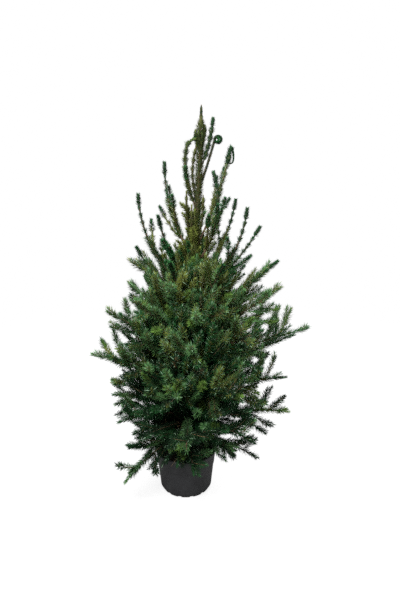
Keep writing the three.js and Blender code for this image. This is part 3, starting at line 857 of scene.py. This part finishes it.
# %% Sprays of any shoot
# Needle length, angle and density of a young stretch and of a bud end.
AGED_YOUNG = (12, 44, 1.2)
AGED_BUD = (17, 84, 2.6)
THIN_YOUNG = (13, 44, 1.2)
THIN_BUD = (16, 84, 2.6)
AGED_BUD_LENGTH = 36.0
THIN_BUD_LENGTH = 30.0
OLD_END = 0.62
OLD_EXTRA = 2
OLD_DENSITY = 1.5
# Below this height an inner twig's inner half gets near-black needles: painted shade inside the crown.
SHADE_TOP = 420.0
INNER_HALF = 0.5
INNER_BRUSH = (20, 52)
INNER_DENSITY = 0.9
FRESH_SHARE = 0.06
FRESH_REACH = 34.0
FRESH_FIRST = 0.4
FRESH_DENSITY = 1.25
FULL_DENSITY = 0.66
# Pale needles dealt into each brush: partly the plant's silvery grey, partly painted highlight on the wax.
PALE_HIGHLIGHT_DENSITY = 0.1
PALE_HIGHLIGHT_DENSITIES = {"skirt": 0.04, "lower": 0.05, "middle": 0.07}
CORE_END = 0.85
CORE_NEEDLE = 0.6
CORE_DENSITY = 0.32
OLIVE_CORE = 0.82
# Tiers whose needle core is dark green as painted shade.
SHADE_CORE_TIERS = ("skirt", "lower")


def blended_sprays(first, brush, density, colour, tier):
    return [spray(first, 1.0, *brush, density * share, tone) for tone, share in blend(colour, tier)]


def full_brush(bare, brush, tier, colour):
    """An even brush: single pale needles, partly painted highlight, and a core of short old ones, painted
    shade low down.
    """
    core = "olive" if rng.random() < OLIVE_CORE else "brown"
    # In the lowest tiers the core is dark green: painted shade.
    if tier["name"] in SHADE_CORE_TIERS:
        core = "deep"
    pale = spray(bare, 1.0, *brush, PALE_HIGHLIGHT_DENSITIES.get(tier["name"], PALE_HIGHLIGHT_DENSITY), "silver")
    short = spray(bare, CORE_END, CORE_NEEDLE * tier["needle"], tier["spread"], CORE_DENSITY, core)
    return [*blended_sprays(bare, brush, FULL_DENSITY, colour, tier), pale, short]


def sprays_of(shoot):
    """The stretches of a shoot that have needles of their own kind."""
    tier = shoot["tier"]
    bare = shoot["bare"]
    brush = (tier["needle"], tier["spread"])
    length = line_length(shoot["line"])
    colour = deal_colour(float(shoot["line"][:, 2].mean()))
    # Shoots round the far end of the gap get near-black needles: painted shade.
    if walls_hollow(shoot["line"]):
        colour = "shade"
    if bare >= 1.0:
        return []
    if shoot["label"] in NAMED_SPRAYS:
        return [spray(*row) for row in NAMED_SPRAYS[shoot["label"]]]
    if shoot["order"] == BOUGH and tier["name"] in AGED_TIERS:
        tip = 1 - AGED_BUD_LENGTH / length
        old = spray(bare, OLD_END, tier["needle"] + OLD_EXTRA, tier["spread"], OLD_DENSITY, colour)
        young = spray(OLD_END, tip, *AGED_YOUNG, "deep", THIN_KNOBS)
        return [old, young, spray(tip, 1.0, *AGED_BUD, "deep")]
    if shoot["label"] == INNER_LABEL:
        # Painted shade: the inner half of a low inner twig is near-black.
        inside = "shade" if shoot["line"][0, 2] < SHADE_TOP else colour
        outside = blended_sprays(INNER_HALF, INNER_BRUSH, INNER_DENSITY, colour, tier)
        return [spray(bare, INNER_HALF, *INNER_BRUSH, INNER_DENSITY, inside), *outside]
    if shoot["order"] <= SHOOT and tier["name"] in THIN_TIERS:
        tip = 1 - THIN_BUD_LENGTH / length
        return [spray(bare, tip, *THIN_YOUNG, colour, THIN_KNOBS), spray(tip, 1.0, *THIN_BUD, "deep")]
    if tier["name"] not in THIN_TIERS and rng.random() < FRESH_SHARE:
        tip = max(FRESH_FIRST, 1 - FRESH_REACH / length)
        return [spray(bare, tip, *brush, 1.0, colour), spray(tip, 1.0, *brush, FRESH_DENSITY, "fresh")]
    return full_brush(bare, brush, tier, colour)


print("brushes with a fresh tip: %.0f in 100" % (100 * FRESH_SHARE))

# %% [markdown]
# ## Needles
# A needle of this kind is flat, about 2 mm wide and 10 to 20 mm long. Hair particles could stand for needles,
# but they don't leave Blender as a mesh. So each needle is a folded blade of two faces: root, tip, and a
# corner on each side below the fold. The count is limited, so many are larger than life: 2.4 mm wide, up to
# 29 mm long on the shoots and up to 32 mm near the leader's tip. The needles of a shoot follow the golden
# angle round it, lean towards its tip and are swept up from its underside.

# %% Needle rule
NEEDLES_PER_MM = 2.32
FEWEST_NEEDLES = 5
GOLDEN_ANGLE = 137.508
TURN_JITTER = 0.35
TANGENT_SPAN = 0.02
UPWARD_SWEEP = 0.3
CLOSING_SHARE = 0.24
CLOSING = 0.62
LEAN_RANGE = (0.8, 1.18)
LENGTH_RANGE = (0.78, 1.15)
TIP_SHORTER = 0.25
KNOB_SPACING = 27.0
WOOD_TAPER = 0.6
ROOT_DEPTH = 0.6


def needles_along(shoot, stretch):
    """Roots, spans, width directions and upper sides of the needles on a stretch of a shoot."""
    line = shoot["line"]
    first = stretch["first"]
    last = stretch["last"]
    length = line_length(line)
    count = max(FEWEST_NEEDLES, int(length * (last - first) * NEEDLES_PER_MM * stretch["density"]))
    share = first + (last - first) * (np.arange(count) + rng.uniform(0, 1, count)) / count
    along = unit(points_on(line, np.minimum(share + TANGENT_SPAN, 1)) - points_on(line, share - TANGENT_SPAN))
    across = unit(shoot["side"] - along * (along @ shoot["side"])[:, None])
    over = np.cross(across, along)
    turn = np.radians(GOLDEN_ANGLE) * np.arange(count) + rng.normal(0, TURN_JITTER, count)
    outward = across * np.cos(turn)[:, None] + over * np.sin(turn)[:, None] + UP * UPWARD_SWEEP
    outward = unit(outward - along * (outward * along).sum(-1, keepdims=True))
    tip = np.clip((share - 1 + CLOSING_SHARE) / CLOSING_SHARE, 0, 1)
    lean = np.radians(stretch["spread"] * rng.uniform(*LEAN_RANGE, count) * (1 - CLOSING * tip))
    heading = along * np.cos(lean)[:, None] + outward * np.sin(lean)[:, None]
    knobs = np.cos(math.tau * share * length / KNOB_SPACING)
    reach = stretch["needle"] * rng.uniform(*LENGTH_RANGE, count) * (1 - TIP_SHORTER * tip)
    reach = reach * (1 + stretch["knobs"] * knobs)
    thickness = shoot["radius"] * (1 - WOOD_TAPER * share)
    roots = points_on(line, share) + outward * ROOT_DEPTH * thickness[:, None]
    wide = unit(np.cross(heading, outward))
    return roots, heading * reach[:, None], wide, np.cross(wide, heading)


print("needles on 100 mm of a shoot at density 1: %.0f" % (100 * NEEDLES_PER_MM))

# %% [markdown]
# ## Needles round the leader
# The top of the trunk is last year's growth and still wears its own needles: long, olive to brown, and dense
# enough to hide the bark up to the bud, a spike of short dark scales. A ready-made brush could be put there,
# but the needle rule does both. The sleeve is dealt out in short stretches, so that its needles change with
# height.

# %% Needles of the leader
# Lowest and highest point in mm, points on the line and radius of the wood.
SLEEVE = (880.0, 1356.0, 60, 7.0)
BUD = (1344.0, 1388.0, 12, 3.0)
SLEEVE_STRETCHES = 30
SLEEVE_SHARES = (0.0, 0.64, 0.77, 0.83, 0.9, 0.96, 1.0)
SLEEVE_NEEDLES = (22.0, 22.0, 23.0, 30.0, 30.0, 20.0, 10.0)
SLEEVE_SPREADS = (42.0, 48.0, 52.0, 62.0, 78.0, 74.0, 60.0)
SLEEVE_MIX = (("olive", 1.8), ("brown", 1.0), ("mid", 0.4))
BUD_SCALES = (spray(0.0, 1.0, 13.0, 17.0, 1.6, "brown"), spray(0.0, 1.0, 13.0, 17.0, 4.4, "shade"))


def leader_stretch(low, high, points, radius):
    return {"line": trunk_points(np.linspace(low, high, points)), "side": RIGHT, "radius": radius}


sleeve = leader_stretch(*SLEEVE)
bud = leader_stretch(*BUD)
dealt = {colour: [] for colour in COLOURS}
for index in range(SLEEVE_STRETCHES):
    first = index / SLEEVE_STRETCHES
    last = first + 1 / SLEEVE_STRETCHES
    needle = np.interp(first, SLEEVE_SHARES, SLEEVE_NEEDLES)
    spread = np.interp(first, SLEEVE_SHARES, SLEEVE_SPREADS)
    for colour, density in SLEEVE_MIX:
        dealt[colour].append(needles_along(sleeve, spray(first, last, needle, spread, density, colour)))
for stretch in BUD_SCALES:
    dealt[stretch["colour"]].append(needles_along(bud, stretch))
print("sprays round the leader:", sum(len(sprays) for sprays in dealt.values()))

# %% Deal out the needles and join them by colour
NEEDLE_WIDTH = 2.4
NEEDLE_KEEL = 0.22
NEEDLE_BELLY = 0.5
PIECE_NEEDLES = 96000


def mesh_from_arrays(name, corners, index):
    """A triangle mesh from corners in millimetres and a flat array of corner numbers."""
    mesh = bpy.data.meshes.new(name)
    mesh.vertices.add(len(corners))
    mesh.vertices.foreach_set("co", (corners * MM).astype(np.float32).ravel())
    mesh.loops.add(len(index))
    mesh.loops.foreach_set("vertex_index", index.astype(np.int32))
    mesh.polygons.add(len(index) // 3)
    mesh.polygons.foreach_set("loop_start", np.arange(0, len(index), 3, dtype=np.int32))
    mesh.update(calc_edges=True)
    return mesh


def needle_mesh(name, roots, spans, wide, upper):
    belly = roots + spans * NEEDLE_BELLY
    half = wide * NEEDLE_WIDTH / 2
    keel = upper * NEEDLE_WIDTH * NEEDLE_KEEL
    corners = np.stack((roots, belly + half - keel, roots + spans, belly - half - keel), axis=1)
    index = np.arange(len(roots))[:, None, None] * corners.shape[1] + np.array(((0, 1, 2), (0, 2, 3)))
    return mesh_from_arrays(name, corners.reshape(-1, 3), index.ravel())


for shoot in shoots:
    for stretch in sprays_of(shoot):
        dealt[stretch["colour"]].append(needles_along(shoot, stretch))

needle_pieces = {colour: [] for colour in COLOURS}
for colour, sprays in dealt.items():
    arrays = [np.concatenate(column) for column in zip(*sprays)]
    count = len(arrays[0])
    parts = math.ceil(count / PIECE_NEEDLES)
    for part in range(parts):
        chosen = slice(part * count // parts, (part + 1) * count // parts)
        name = "needles_%s_%d" % (colour, part + 1)
        mesh = needle_mesh(name, *(array[chosen] for array in arrays))
        needle_pieces[colour].append(add_object(name, mesh))
    longest = np.linalg.norm(arrays[1], axis=-1).max()
    print(colour, "needles:", count, "in", parts, "pieces, up to %.1f mm long" % longest)

# %% [markdown]
# ## Needle finish
# The skin of a needle is a waxy leaf surface. One flat green would look like paint, so the tint drifts over a
# few centimetres, and faces that look down are paler, because a needle of this kind has two pale bands below.
# Wax has an IOR near 1.45. Its gloss is held low, since needles this thin would otherwise sparkle.

# %% Waxy needle skin
NEEDLE_HEX = {
    # shade: a near-black green. It is painted shade low and inside the crown and round the dark gap, and it
    # is the own dark colour of the curled tips and bud scales.
    "shade": ("#18341c", "#0e2413"),
    "deep": ("#28542d", "#19401f"),
    "mid": ("#517846", "#3d6038"),
    "fresh": ("#5c7a36", "#4a672c"),
    "olive": ("#6d7636", "#56602b"),
    # silver: partly the plant's silvery grey, partly painted highlight.
    "silver": ("#87a185", "#67856b"),
    "brown": ("#6c5738", "#4f402b"),
}
BAND_HEX = "#9db09a"
BAND_SHARE = 0.12
TINT_PATCH = 30.0
TINT_LOOK = {"Scale": 1 / (TINT_PATCH * MM), "Detail": 4.0, "Roughness": 0.7}
TINT_RANGE = (0.35, 0.65)
BELOW = {"From Min": -0.2, "From Max": -0.7, "To Max": BAND_SHARE}
SHEEN = {"To Min": 0.4, "To Max": 0.65}
NEEDLE_WAX = {"IOR": 1.45, "Specular IOR Level": 0.12}


def needle_skin(colour):
    # To the eye: green with a soft sheen that changes from patch to patch, and paler from below.
    material, tree = new_material("waxy_needle_" + colour)
    light, dark = NEEDLE_HEX[colour]
    patches, tint = patchy_tint(tree, dark, light, TINT_LOOK, *TINT_RANGE)
    normal = add_node(tree, "NewGeometry", {}, "True Normal")
    facing = add_node(tree, "SeparateXYZ", {0: normal}, "Z")
    share = add_node(tree, "MapRange", {"Value": facing, **BELOW})
    colours = {MIX_SHARE: share, MIX_FIRST: tint, MIX_SECOND: linear(BAND_HEX)}
    banded = add_node(tree, "Mix", colours, MIX_RESULT, data_type="RGBA")
    sheen = add_node(tree, "MapRange", {"Value": patches, **SHEEN})
    add_surface(tree, {"Base Color": banded, "Roughness": sheen, **NEEDLE_WAX})
    return material


for colour, pieces in needle_pieces.items():
    skin = needle_skin(colour)
    for piece in pieces:
        piece.data.materials.append(skin)
print("needle skins:", len(needle_pieces))

# %% [markdown]
# ## Twigs
# Under the needles runs the wood of the twigs, which shows as tan lines through the brushes and bare where a
# twig has died. A curve with a bevel would do for one twig. For hundreds, a tapering tube is laid along each
# line and all are joined.

# %% Twig tubes
TWIG_TAPER = 0.4
SHOOT_SIDES = 4
TWIG_SIDES = 3
FLIPPED = [0, 2, 1]


def ring_faces(rings, sides):
    """Triangles between rings of corners, with a fan over the first ring and over the last."""
    ring = np.arange(rings - 1)[:, None] * sides
    here = (ring + np.arange(sides)).ravel()
    beside = (ring + (np.arange(sides) + 1) % sides).ravel()
    walls = np.stack((here, beside, here + sides, beside, beside + sides, here + sides), axis=-1)
    fan = np.arange(1, sides - 1)
    first = np.stack((np.zeros_like(fan), fan + 1, fan), axis=-1)
    last = (rings - 1) * sides + first[:, FLIPPED]
    return np.concatenate((walls.reshape(-1, 3), first, last))


def tube_arrays(line, radii, sides):
    """Corners and triangles of a tapering tube along a line, closed at both ends."""
    along = unit(np.gradient(line, axis=0))
    hint = level_side(along[len(along) // 2], BACK)
    across = unit(hint - along * (along @ hint)[:, None])
    over = np.cross(across, along)
    turn = math.tau * np.arange(sides) / sides
    circle = across[:, None] * np.cos(turn)[:, None] + over[:, None] * np.sin(turn)[:, None]
    corners = (line[:, None] + circle * radii[:, None, None]).reshape(-1, 3)
    return corners, ring_faces(len(line), sides)[:, FLIPPED].ravel()


def joined_piece(name, parts):
    """One object from several pairs of corners and triangles."""
    starts = np.cumsum([0] + [len(corners) for corners, index in parts])
    corners = np.concatenate([part[0] for part in parts])
    index = np.concatenate([part[1] + start for part, start in zip(parts, starts)])
    return add_object(name, mesh_from_arrays(name, corners, index))


def twig_tube(shoot):
    radii = np.linspace(shoot["radius"], TWIG_TAPER * shoot["radius"], len(shoot["line"]))
    return tube_arrays(shoot["line"], radii, SHOOT_SIDES if shoot["order"] == SHOOT else TWIG_SIDES)


twigs = joined_piece("twigs", [twig_tube(shoot) for shoot in shoots if shoot["order"] != BOUGH])
print("twig triangles:", len(twigs.data.polygons))

# %% [markdown]
# ## Bark of trunk and boughs
# The trunk of a young spruce is covered in thin scales a few millimetres wide, with shallow cracks between
# them. A bump map would fade at the outline, so the scales are real relief here: each corner of a fine tube
# moves in or out by its place in a cell pattern. At the soil the trunk spreads into a few blunt ridges.

# %% Relief of bark scales
SCALE_SIZE = 5.0
SCALE_STRETCH = 1.6
SCALE_SINK = 0.6
CRACK_SHARE = 0.3
ROUGH_SIZE = 0.45
ROUGH_SHARE = 0.4
RELIEF = 0.11


def bark_relief(corners, middles):
    """The corners moved along their radius by the bark's scales and the cracks between them."""
    cell = (SCALE_SIZE, SCALE_SIZE, SCALE_STRETCH * SCALE_SIZE)
    moved = np.empty_like(corners)
    for row, (corner, middle) in enumerate(zip(corners, middles)):
        near, far = noise.voronoi(Vector(corner / cell))[0][:2]
        scale = min((far - near) / CRACK_SHARE, 1.0) - SCALE_SINK
        rough = noise.noise(Vector(corner / (ROUGH_SIZE * SCALE_SIZE)))
        moved[row] = middle + (corner - middle) * (1 + RELIEF * (scale + ROUGH_SHARE * rough))
    return moved


print("bark scales: %.0f by %.0f mm" % (SCALE_SIZE, SCALE_STRETCH * SCALE_SIZE))

# %% Trunk and bough bark
SEAT_GAP = 0.3
TRUNK_RINGS = 340
TRUNK_SIDES = 30
RING_CROWDING = 1.2
FOOT_RIDGES = 5
RIDGE_DEPTH = 0.13
RIDGE_FADE = 30.0
BOUGH_RINGS = 32
CURL_RINGS = 96
BOUGH_SIDES = 8
BOUGH_TIP_RADIUS = 1.4
CURL_TIP_RADIUS = 1.7


def trunk_tube():
    foot = SOIL_TOP + SEAT_GAP
    heights = foot + (TREE_TOP - foot) * np.linspace(0, 1, TRUNK_RINGS) ** RING_CROWDING
    line = trunk_points(heights)
    corners, index = tube_arrays(line, trunk_radius(heights), TRUNK_SIDES)
    middles = np.repeat(line, TRUNK_SIDES, axis=0)
    turn = np.arctan2(corners[:, 1] - middles[:, 1], corners[:, 0] - middles[:, 0])
    ridges = RIDGE_DEPTH * np.cos(FOOT_RIDGES * turn) * np.exp(-(middles[:, 2] - foot) / RIDGE_FADE)
    corners = middles + (corners - middles) * (1 + ridges)[:, None]
    return bark_relief(corners, middles), index


def bough_tube(bough):
    curled = bough["label"] in CURLS
    share = np.linspace(0, 1, CURL_RINGS if curled else BOUGH_RINGS)
    tip_radius = CURL_TIP_RADIUS if curled else BOUGH_TIP_RADIUS
    line = points_on(bough["line"], share)
    corners, index = tube_arrays(line, bough["radius"] + (tip_radius - bough["radius"]) * share, BOUGH_SIDES)
    return bark_relief(corners, np.repeat(line, BOUGH_SIDES, axis=0)), index


trunk = joined_piece("trunk_bark", [trunk_tube()])
bough_bark = joined_piece("bough_bark", [bough_tube(bough) for bough in boughs])
for piece in (trunk, bough_bark):
    piece.data.shade_smooth()
print("trunk triangles:", len(trunk.data.polygons), "bough triangles:", len(bough_bark.data.polygons))

# %% [markdown]
# ## Bark finish
# Young spruce bark is dry and fibrous: flakes of grey-brown over a darker ground. Twig bark is the same at a
# finer grain and in a paler tan, and compost, further down, is dry fibre too, so one function serves all
# three. Flakes of 4 to 6 mm are coarser than the real ones, which would be too fine to show.

# %% Scaly bark and twig bark
TRUNK_FLAKE = 6.0
TWIG_FLAKE = 4.0
FLAKE_LOOK = {"Detail": 5.0, "Roughness": 0.65}
FLAKE_RANGE = (0.3, 0.7)
FLAKE_BUMP = {"Strength": 0.5, "Distance": 0.6 * MM}
DRYNESS = {"To Min": 0.7, "To Max": 0.95}
FIBRE_IOR = 1.45


def fibre_skin(name, dark, light, flake):
    # To the eye: a dull crumbly brown with no shine, lighter where a flake stands up.
    material, tree = new_material(name)
    flakes, tint = patchy_tint(tree, dark, light, {"Scale": 1 / (flake * MM), **FLAKE_LOOK}, *FLAKE_RANGE)
    dry = add_node(tree, "MapRange", {"Value": flakes, **DRYNESS})
    grain = add_node(tree, "Bump", {"Height": flakes, **FLAKE_BUMP})
    add_surface(tree, {"Base Color": tint, "Roughness": dry, "Normal": grain, "IOR": FIBRE_IOR})
    return material


scaly_bark = fibre_skin("scaly_spruce_bark", "#2c2119", "#6b523d", TRUNK_FLAKE)
twig_bark = fibre_skin("young_twig_bark", "#3a3022", "#7c6846", TWIG_FLAKE)
for piece, bark in ((trunk, scaly_bark), (bough_bark, scaly_bark), (twigs, twig_bark)):
    piece.data.materials.append(bark)
print("bark skins:", scaly_bark.name, twig_bark.name)

# %% [markdown]
# ## Pot
# The pot is injection-moulded from black plastic: a tapering wall, a collar with a small step, a rolled rim
# and a foot that draws in and has drain notches. It could be joined from cones and rings, but one turned
# profile gives the step and the rim their curves. The notches are pressed into the foot by moving the
# profile's lowest points in where a notch is.

# %% Section of the pot
POT_FOOT_RADIUS = 95.0
POT_WALL = 2.2
POT_FLOOR = 4.0
POT_CENTRE = 0.0001
FOOT_TUCK = 8.0
FOOT_RISE = 16.0
COLLAR_FOOT = 104.0
COLLAR_STEP = 1.8
COLLAR_START = 110.0
RIM_FOOT = 154.0
UNDERSIDE_SHARES = (POT_CENTRE, 0.35, 0.7, 0.9, 0.97)
FOOT_SHARES = (0.02, 0.1, 0.25, 0.4, 0.45, 0.6, 0.8, 0.93, 0.99)
WALL_START = 1.5
EDGE_CLEAR = 1.0
WALL_POINTS = 14
COLLAR_POINTS = 6
STEP_POINTS = ((0.0, 0.0), (0.12, 0.5), (0.5, 1.2), (0.88, 1.9), (1.0, 2.6))
RIM_POINTS = [
    (112.4, 153.6), (113.2, 153.4), (114.0, 153.7), (114.5, 154.4), (114.8, 156.0), (114.8, 157.8),
    (114.4, 159.1), (113.5, 159.8), (112.2, 160.0), (110.6, 159.9), (109.5, 159.4), (108.9, 158.4),
]
INSIDE_HEIGHTS = (154, 148, 142, 136, 120, 60, FOOT_RISE + POT_FLOOR)
INNER_FOOT_SHARES = (0.75, 0.45, 0.2, 0.0)
FLOOR_SHARES = (0.6, POT_CENTRE)


def pot_outer(height):
    return POT_FOOT_RADIUS + (POT_RIM_RADIUS - POT_FOOT_RADIUS) * height / POT_HEIGHT


foot = POT_FOOT_RADIUS - FOOT_TUCK
bend = pot_outer(FOOT_RISE) - foot
inner_bend = pot_outer(FOOT_RISE + POT_FLOOR) - POT_WALL - foot
wall_heights = np.linspace(FOOT_RISE + WALL_START, COLLAR_FOOT - EDGE_CLEAR, WALL_POINTS)
collar_heights = np.linspace(COLLAR_START, RIM_FOOT - EDGE_CLEAR, COLLAR_POINTS)
section = [(share * foot, 0.0) for share in UNDERSIDE_SHARES]
section += [(foot + bend * share, FOOT_RISE * share) for share in FOOT_SHARES]
outer_points = len(section)
section += [(pot_outer(height), height) for height in wall_heights]
section += [(pot_outer(COLLAR_FOOT) + out * COLLAR_STEP, COLLAR_FOOT + rise) for out, rise in STEP_POINTS]
section += [(pot_outer(height) + COLLAR_STEP, height) for height in collar_heights]
section += RIM_POINTS
section += [(pot_outer(height) - POT_WALL, height) for height in INSIDE_HEIGHTS]
section += [(foot + inner_bend * share, POT_FLOOR + FOOT_RISE * share) for share in INNER_FOOT_SHARES]
section += [(share * foot, POT_FLOOR) for share in FLOOR_SHARES]
print("points in the pot's section:", len(section))

# %% Turned pot
POT_SEGMENTS = 216
NOTCH_COUNT = 12
NOTCH_WIDTH = 13.0
NOTCH_HEIGHT = 7.0
NOTCH_INSIDE = 1.5
NOTCH_DEPTH = 12.0
SHARP_ANGLE = 40


def pot_arrays():
    """The section turned round the pot's axis, with its low points pressed in at the notches."""
    profile = np.array(section)
    turn = math.tau * np.arange(POT_SEGMENTS) / POT_SEGMENTS
    pitch = math.tau / NOTCH_COUNT
    from_notch = (turn + pitch / 2) % pitch
    from_notch = np.minimum(from_notch, pitch - from_notch)
    in_notch = from_notch * POT_FOOT_RADIUS < NOTCH_WIDTH / 2
    radii, heights = (np.repeat(column[:, None], POT_SEGMENTS, axis=1) for column in profile.T)
    rows = np.arange(len(profile))
    low_outside = (rows < outer_points) & (profile[:, 1] < NOTCH_HEIGHT)
    low_inside = (rows > outer_points) & (profile[:, 1] < NOTCH_INSIDE * NOTCH_HEIGHT)
    for low, wall in ((low_outside, 0.0), (low_inside, POT_WALL)):
        pressed = np.ix_(low, in_notch)
        radii[pressed] = np.minimum(radii[pressed], POT_FOOT_RADIUS - NOTCH_DEPTH - wall)
    corners = np.stack((radii * np.cos(turn), radii * np.sin(turn), heights), axis=-1).reshape(-1, 3)
    return corners, ring_faces(len(profile), POT_SEGMENTS).ravel()


pot = joined_piece("moulded_pot", [pot_arrays()])
pot.data.shade_smooth()
pot.data.set_sharp_from_angle(angle=math.radians(SHARP_ANGLE))
print("pot triangles:", len(pot.data.polygons))

# %% [markdown]
# ## Pot finish
# The plastic is polypropylene, moulded black and left with the mould's fine grain, and dust and dried water
# lie on it in patches of about 45 mm. A plain black would look cut out. The mould's grain is a fraction of a
# millimetre on the real pot, too fine to show, so it is drawn 1.4 mm coarse. The plastic's IOR is 1.49.

# %% Black moulded polypropylene
# In millimetres: seven grains to a centimetre, and 22 patches of dust to a metre.
GRAIN_SIZE = 10 / 7
DUST_PATCH = 1000 / 22
GRAIN_LOOK = {"Scale": 1 / (GRAIN_SIZE * MM), "Detail": 2.0}
GRAIN_BUMP = {"Strength": 0.25, "Distance": 0.4 * MM}
DUST_LOOK = {"Scale": 1 / (DUST_PATCH * MM), "Detail": 6.0, "Roughness": 0.7}
DUST_RANGE = (0.35, 0.75)
DUST_GLOSS = {"To Min": 0.42, "To Max": 0.72}
POLYPROPYLENE_IOR = 1.49

# To the eye: nearly black with a dull gloss, greyer and duller where dust lies.
pot_plastic, tree = new_material("moulded_black_polypropylene")
dust, tint = patchy_tint(tree, "#1b1b1e", "#2f3032", DUST_LOOK, *DUST_RANGE)
gloss = add_node(tree, "MapRange", {"Value": dust, **DUST_GLOSS})
place = add_node(tree, "TexCoord", {}, "Object")
grain = add_node(tree, "TexNoise", {"Vector": place, **GRAIN_LOOK})
dimple = add_node(tree, "Bump", {"Height": grain, **GRAIN_BUMP})
add_surface(tree, {"Base Color": tint, "Roughness": gloss, "Normal": dimple, "IOR": POLYPROPYLENE_IOR})
pot.data.materials.append(pot_plastic)
print("pot skin:", pot_plastic.name)

# %% [markdown]
# ## Soil
# The pot is filled with peat compost up to under its rim: dark, dry fibre in lumps. A flat brown disc would
# do from afar. Here its top is an uneven disc with loose crumbs, because crumbs make soil read as soil.

# %% Soil disc
SOIL_SAG = 5.0
SOIL_FLAT_RADIUS = 40.0
SOIL_EDGE = 106.0
SOIL_CENTRE = 0.5
SOIL_RINGS = 44
SOIL_SEGMENTS = 132
SOIL_DEPTH = 30.0
BUMP_SIZE = 14.0
BUMP_HEIGHT = 3.0
BUMP_ROUGHNESS = (0.8, 2.1, 4)


def soil_height(across, back):
    radial = math.hypot(across, back)
    sag = SOIL_SAG * max(0.0, (radial - SOIL_FLAT_RADIUS) / (SOIL_EDGE - SOIL_FLAT_RADIUS))
    bump = noise.fractal(Vector((across, back, 0.0)) / BUMP_SIZE, *BUMP_ROUGHNESS)
    return SOIL_TOP - sag - BUMP_HEIGHT + BUMP_HEIGHT * bump


turns = math.tau * np.arange(SOIL_SEGMENTS) / SOIL_SEGMENTS
rings = [[(SOIL_EDGE * math.cos(turn), SOIL_EDGE * math.sin(turn), SOIL_TOP - SOIL_DEPTH) for turn in turns]]
for radius in np.linspace(SOIL_EDGE, SOIL_CENTRE, SOIL_RINGS):
    points = [(radius * math.cos(turn), radius * math.sin(turn)) for turn in turns]
    rings.append([(*point, soil_height(*point)) for point in points])
soil_faces = ring_faces(len(rings), SOIL_SEGMENTS).ravel()
soil = joined_piece("compost", [(np.array(rings).reshape(-1, 3), soil_faces)])
print("soil triangles:", len(soil.data.polygons))

# %% Crumbs on the soil
CRUMBS = 420
CRUMB_CLEAR = 4
CRUMB_INNERMOST = 0.03
CRUMB_SIZES = (1.0, 4.2)
CRUMB_SHAPES = (0.5, 1.3)
CRUMB_DENTS = 0.35
CRUMB_SEAT = 0.3
COMPOST_FLAKE = 5.0
LUMP = np.array(((1, 0, 0), (-1, 0, 0), (0, 1, 0), (0, -1, 0), (0, 0, 1), (0, 0, -1)), dtype=float)
LUMP_FACES = np.array(
    ((0, 2, 4), (2, 1, 4), (1, 3, 4), (3, 0, 4), (2, 0, 5), (1, 2, 5), (3, 1, 5), (0, 3, 5))
).ravel()


def crumb_arrays():
    """A dented eight-sided lump that lies at a seeded place on the soil."""
    radial = (SOIL_EDGE - CRUMB_CLEAR) * math.sqrt(rng.uniform(CRUMB_INNERMOST, 1))
    turn = rng.uniform(0, math.tau)
    across = radial * math.cos(turn)
    back = radial * math.sin(turn)
    size = rng.uniform(*CRUMB_SIZES) * rng.uniform(*CRUMB_SHAPES, 3)
    lump = LUMP * size + rng.normal(0, CRUMB_DENTS, LUMP.shape)
    spin = rng.uniform(0, math.pi)
    level = np.array(((math.cos(spin), -math.sin(spin), 0), (math.sin(spin), math.cos(spin), 0), (0, 0, 1)))
    place = np.array((across, back, soil_height(across, back) + CRUMB_SEAT * size[2]))
    return lump @ level + place, LUMP_FACES


crumbs = joined_piece("compost_crumbs", [crumb_arrays() for _ in range(CRUMBS)])
compost = fibre_skin("peat_compost", "#17110c", "#4a3828", COMPOST_FLAKE)
for piece in (soil, crumbs):
    piece.data.materials.append(compost)
print("crumbs:", CRUMBS)

# %% [markdown]
# ## Bodies and hidden solids
# The tree has no moving part, so every piece rides on the one body, and the solids that a piece stands for
# are hidden.

# %% Bodies and solids
DEEP_MASSES = ("skirt", "lower", "middle", "shoulder")

masses = [name for name in frame["nodes"] if name.startswith("foliage_")]
deep_masses = [name for name in masses if name.split("_")[1] in DEEP_MASSES]
olive_masses = [name for name in masses if name not in deep_masses] + ["leader_needles"]
limbs = [name for name in frame["nodes"] if name.startswith("bough_")]

for colour, pieces in needle_pieces.items():
    for piece in pieces:
        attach(piece, "root")
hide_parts(*deep_masses)
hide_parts(*olive_masses)
for piece, slot, nodes in (
    (twigs, "bark", []),
    (bough_bark, "bark", limbs),
    (trunk, "bark", ["trunk"]),
    (pot, "pot_plastic", ["pot"]),
    (soil, "compost", ["soil"]),
    (crumbs, "compost", []),
):
    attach(piece, "root")
    if nodes:
        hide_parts(*nodes)
print("masses replaced:", len(masses), "limbs replaced:", len(limbs))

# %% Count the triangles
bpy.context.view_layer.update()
triangles = sum(len(piece.data.polygons) for piece in bpy.data.objects if piece.type == "MESH")
print("triangles with the solids:", triangles)
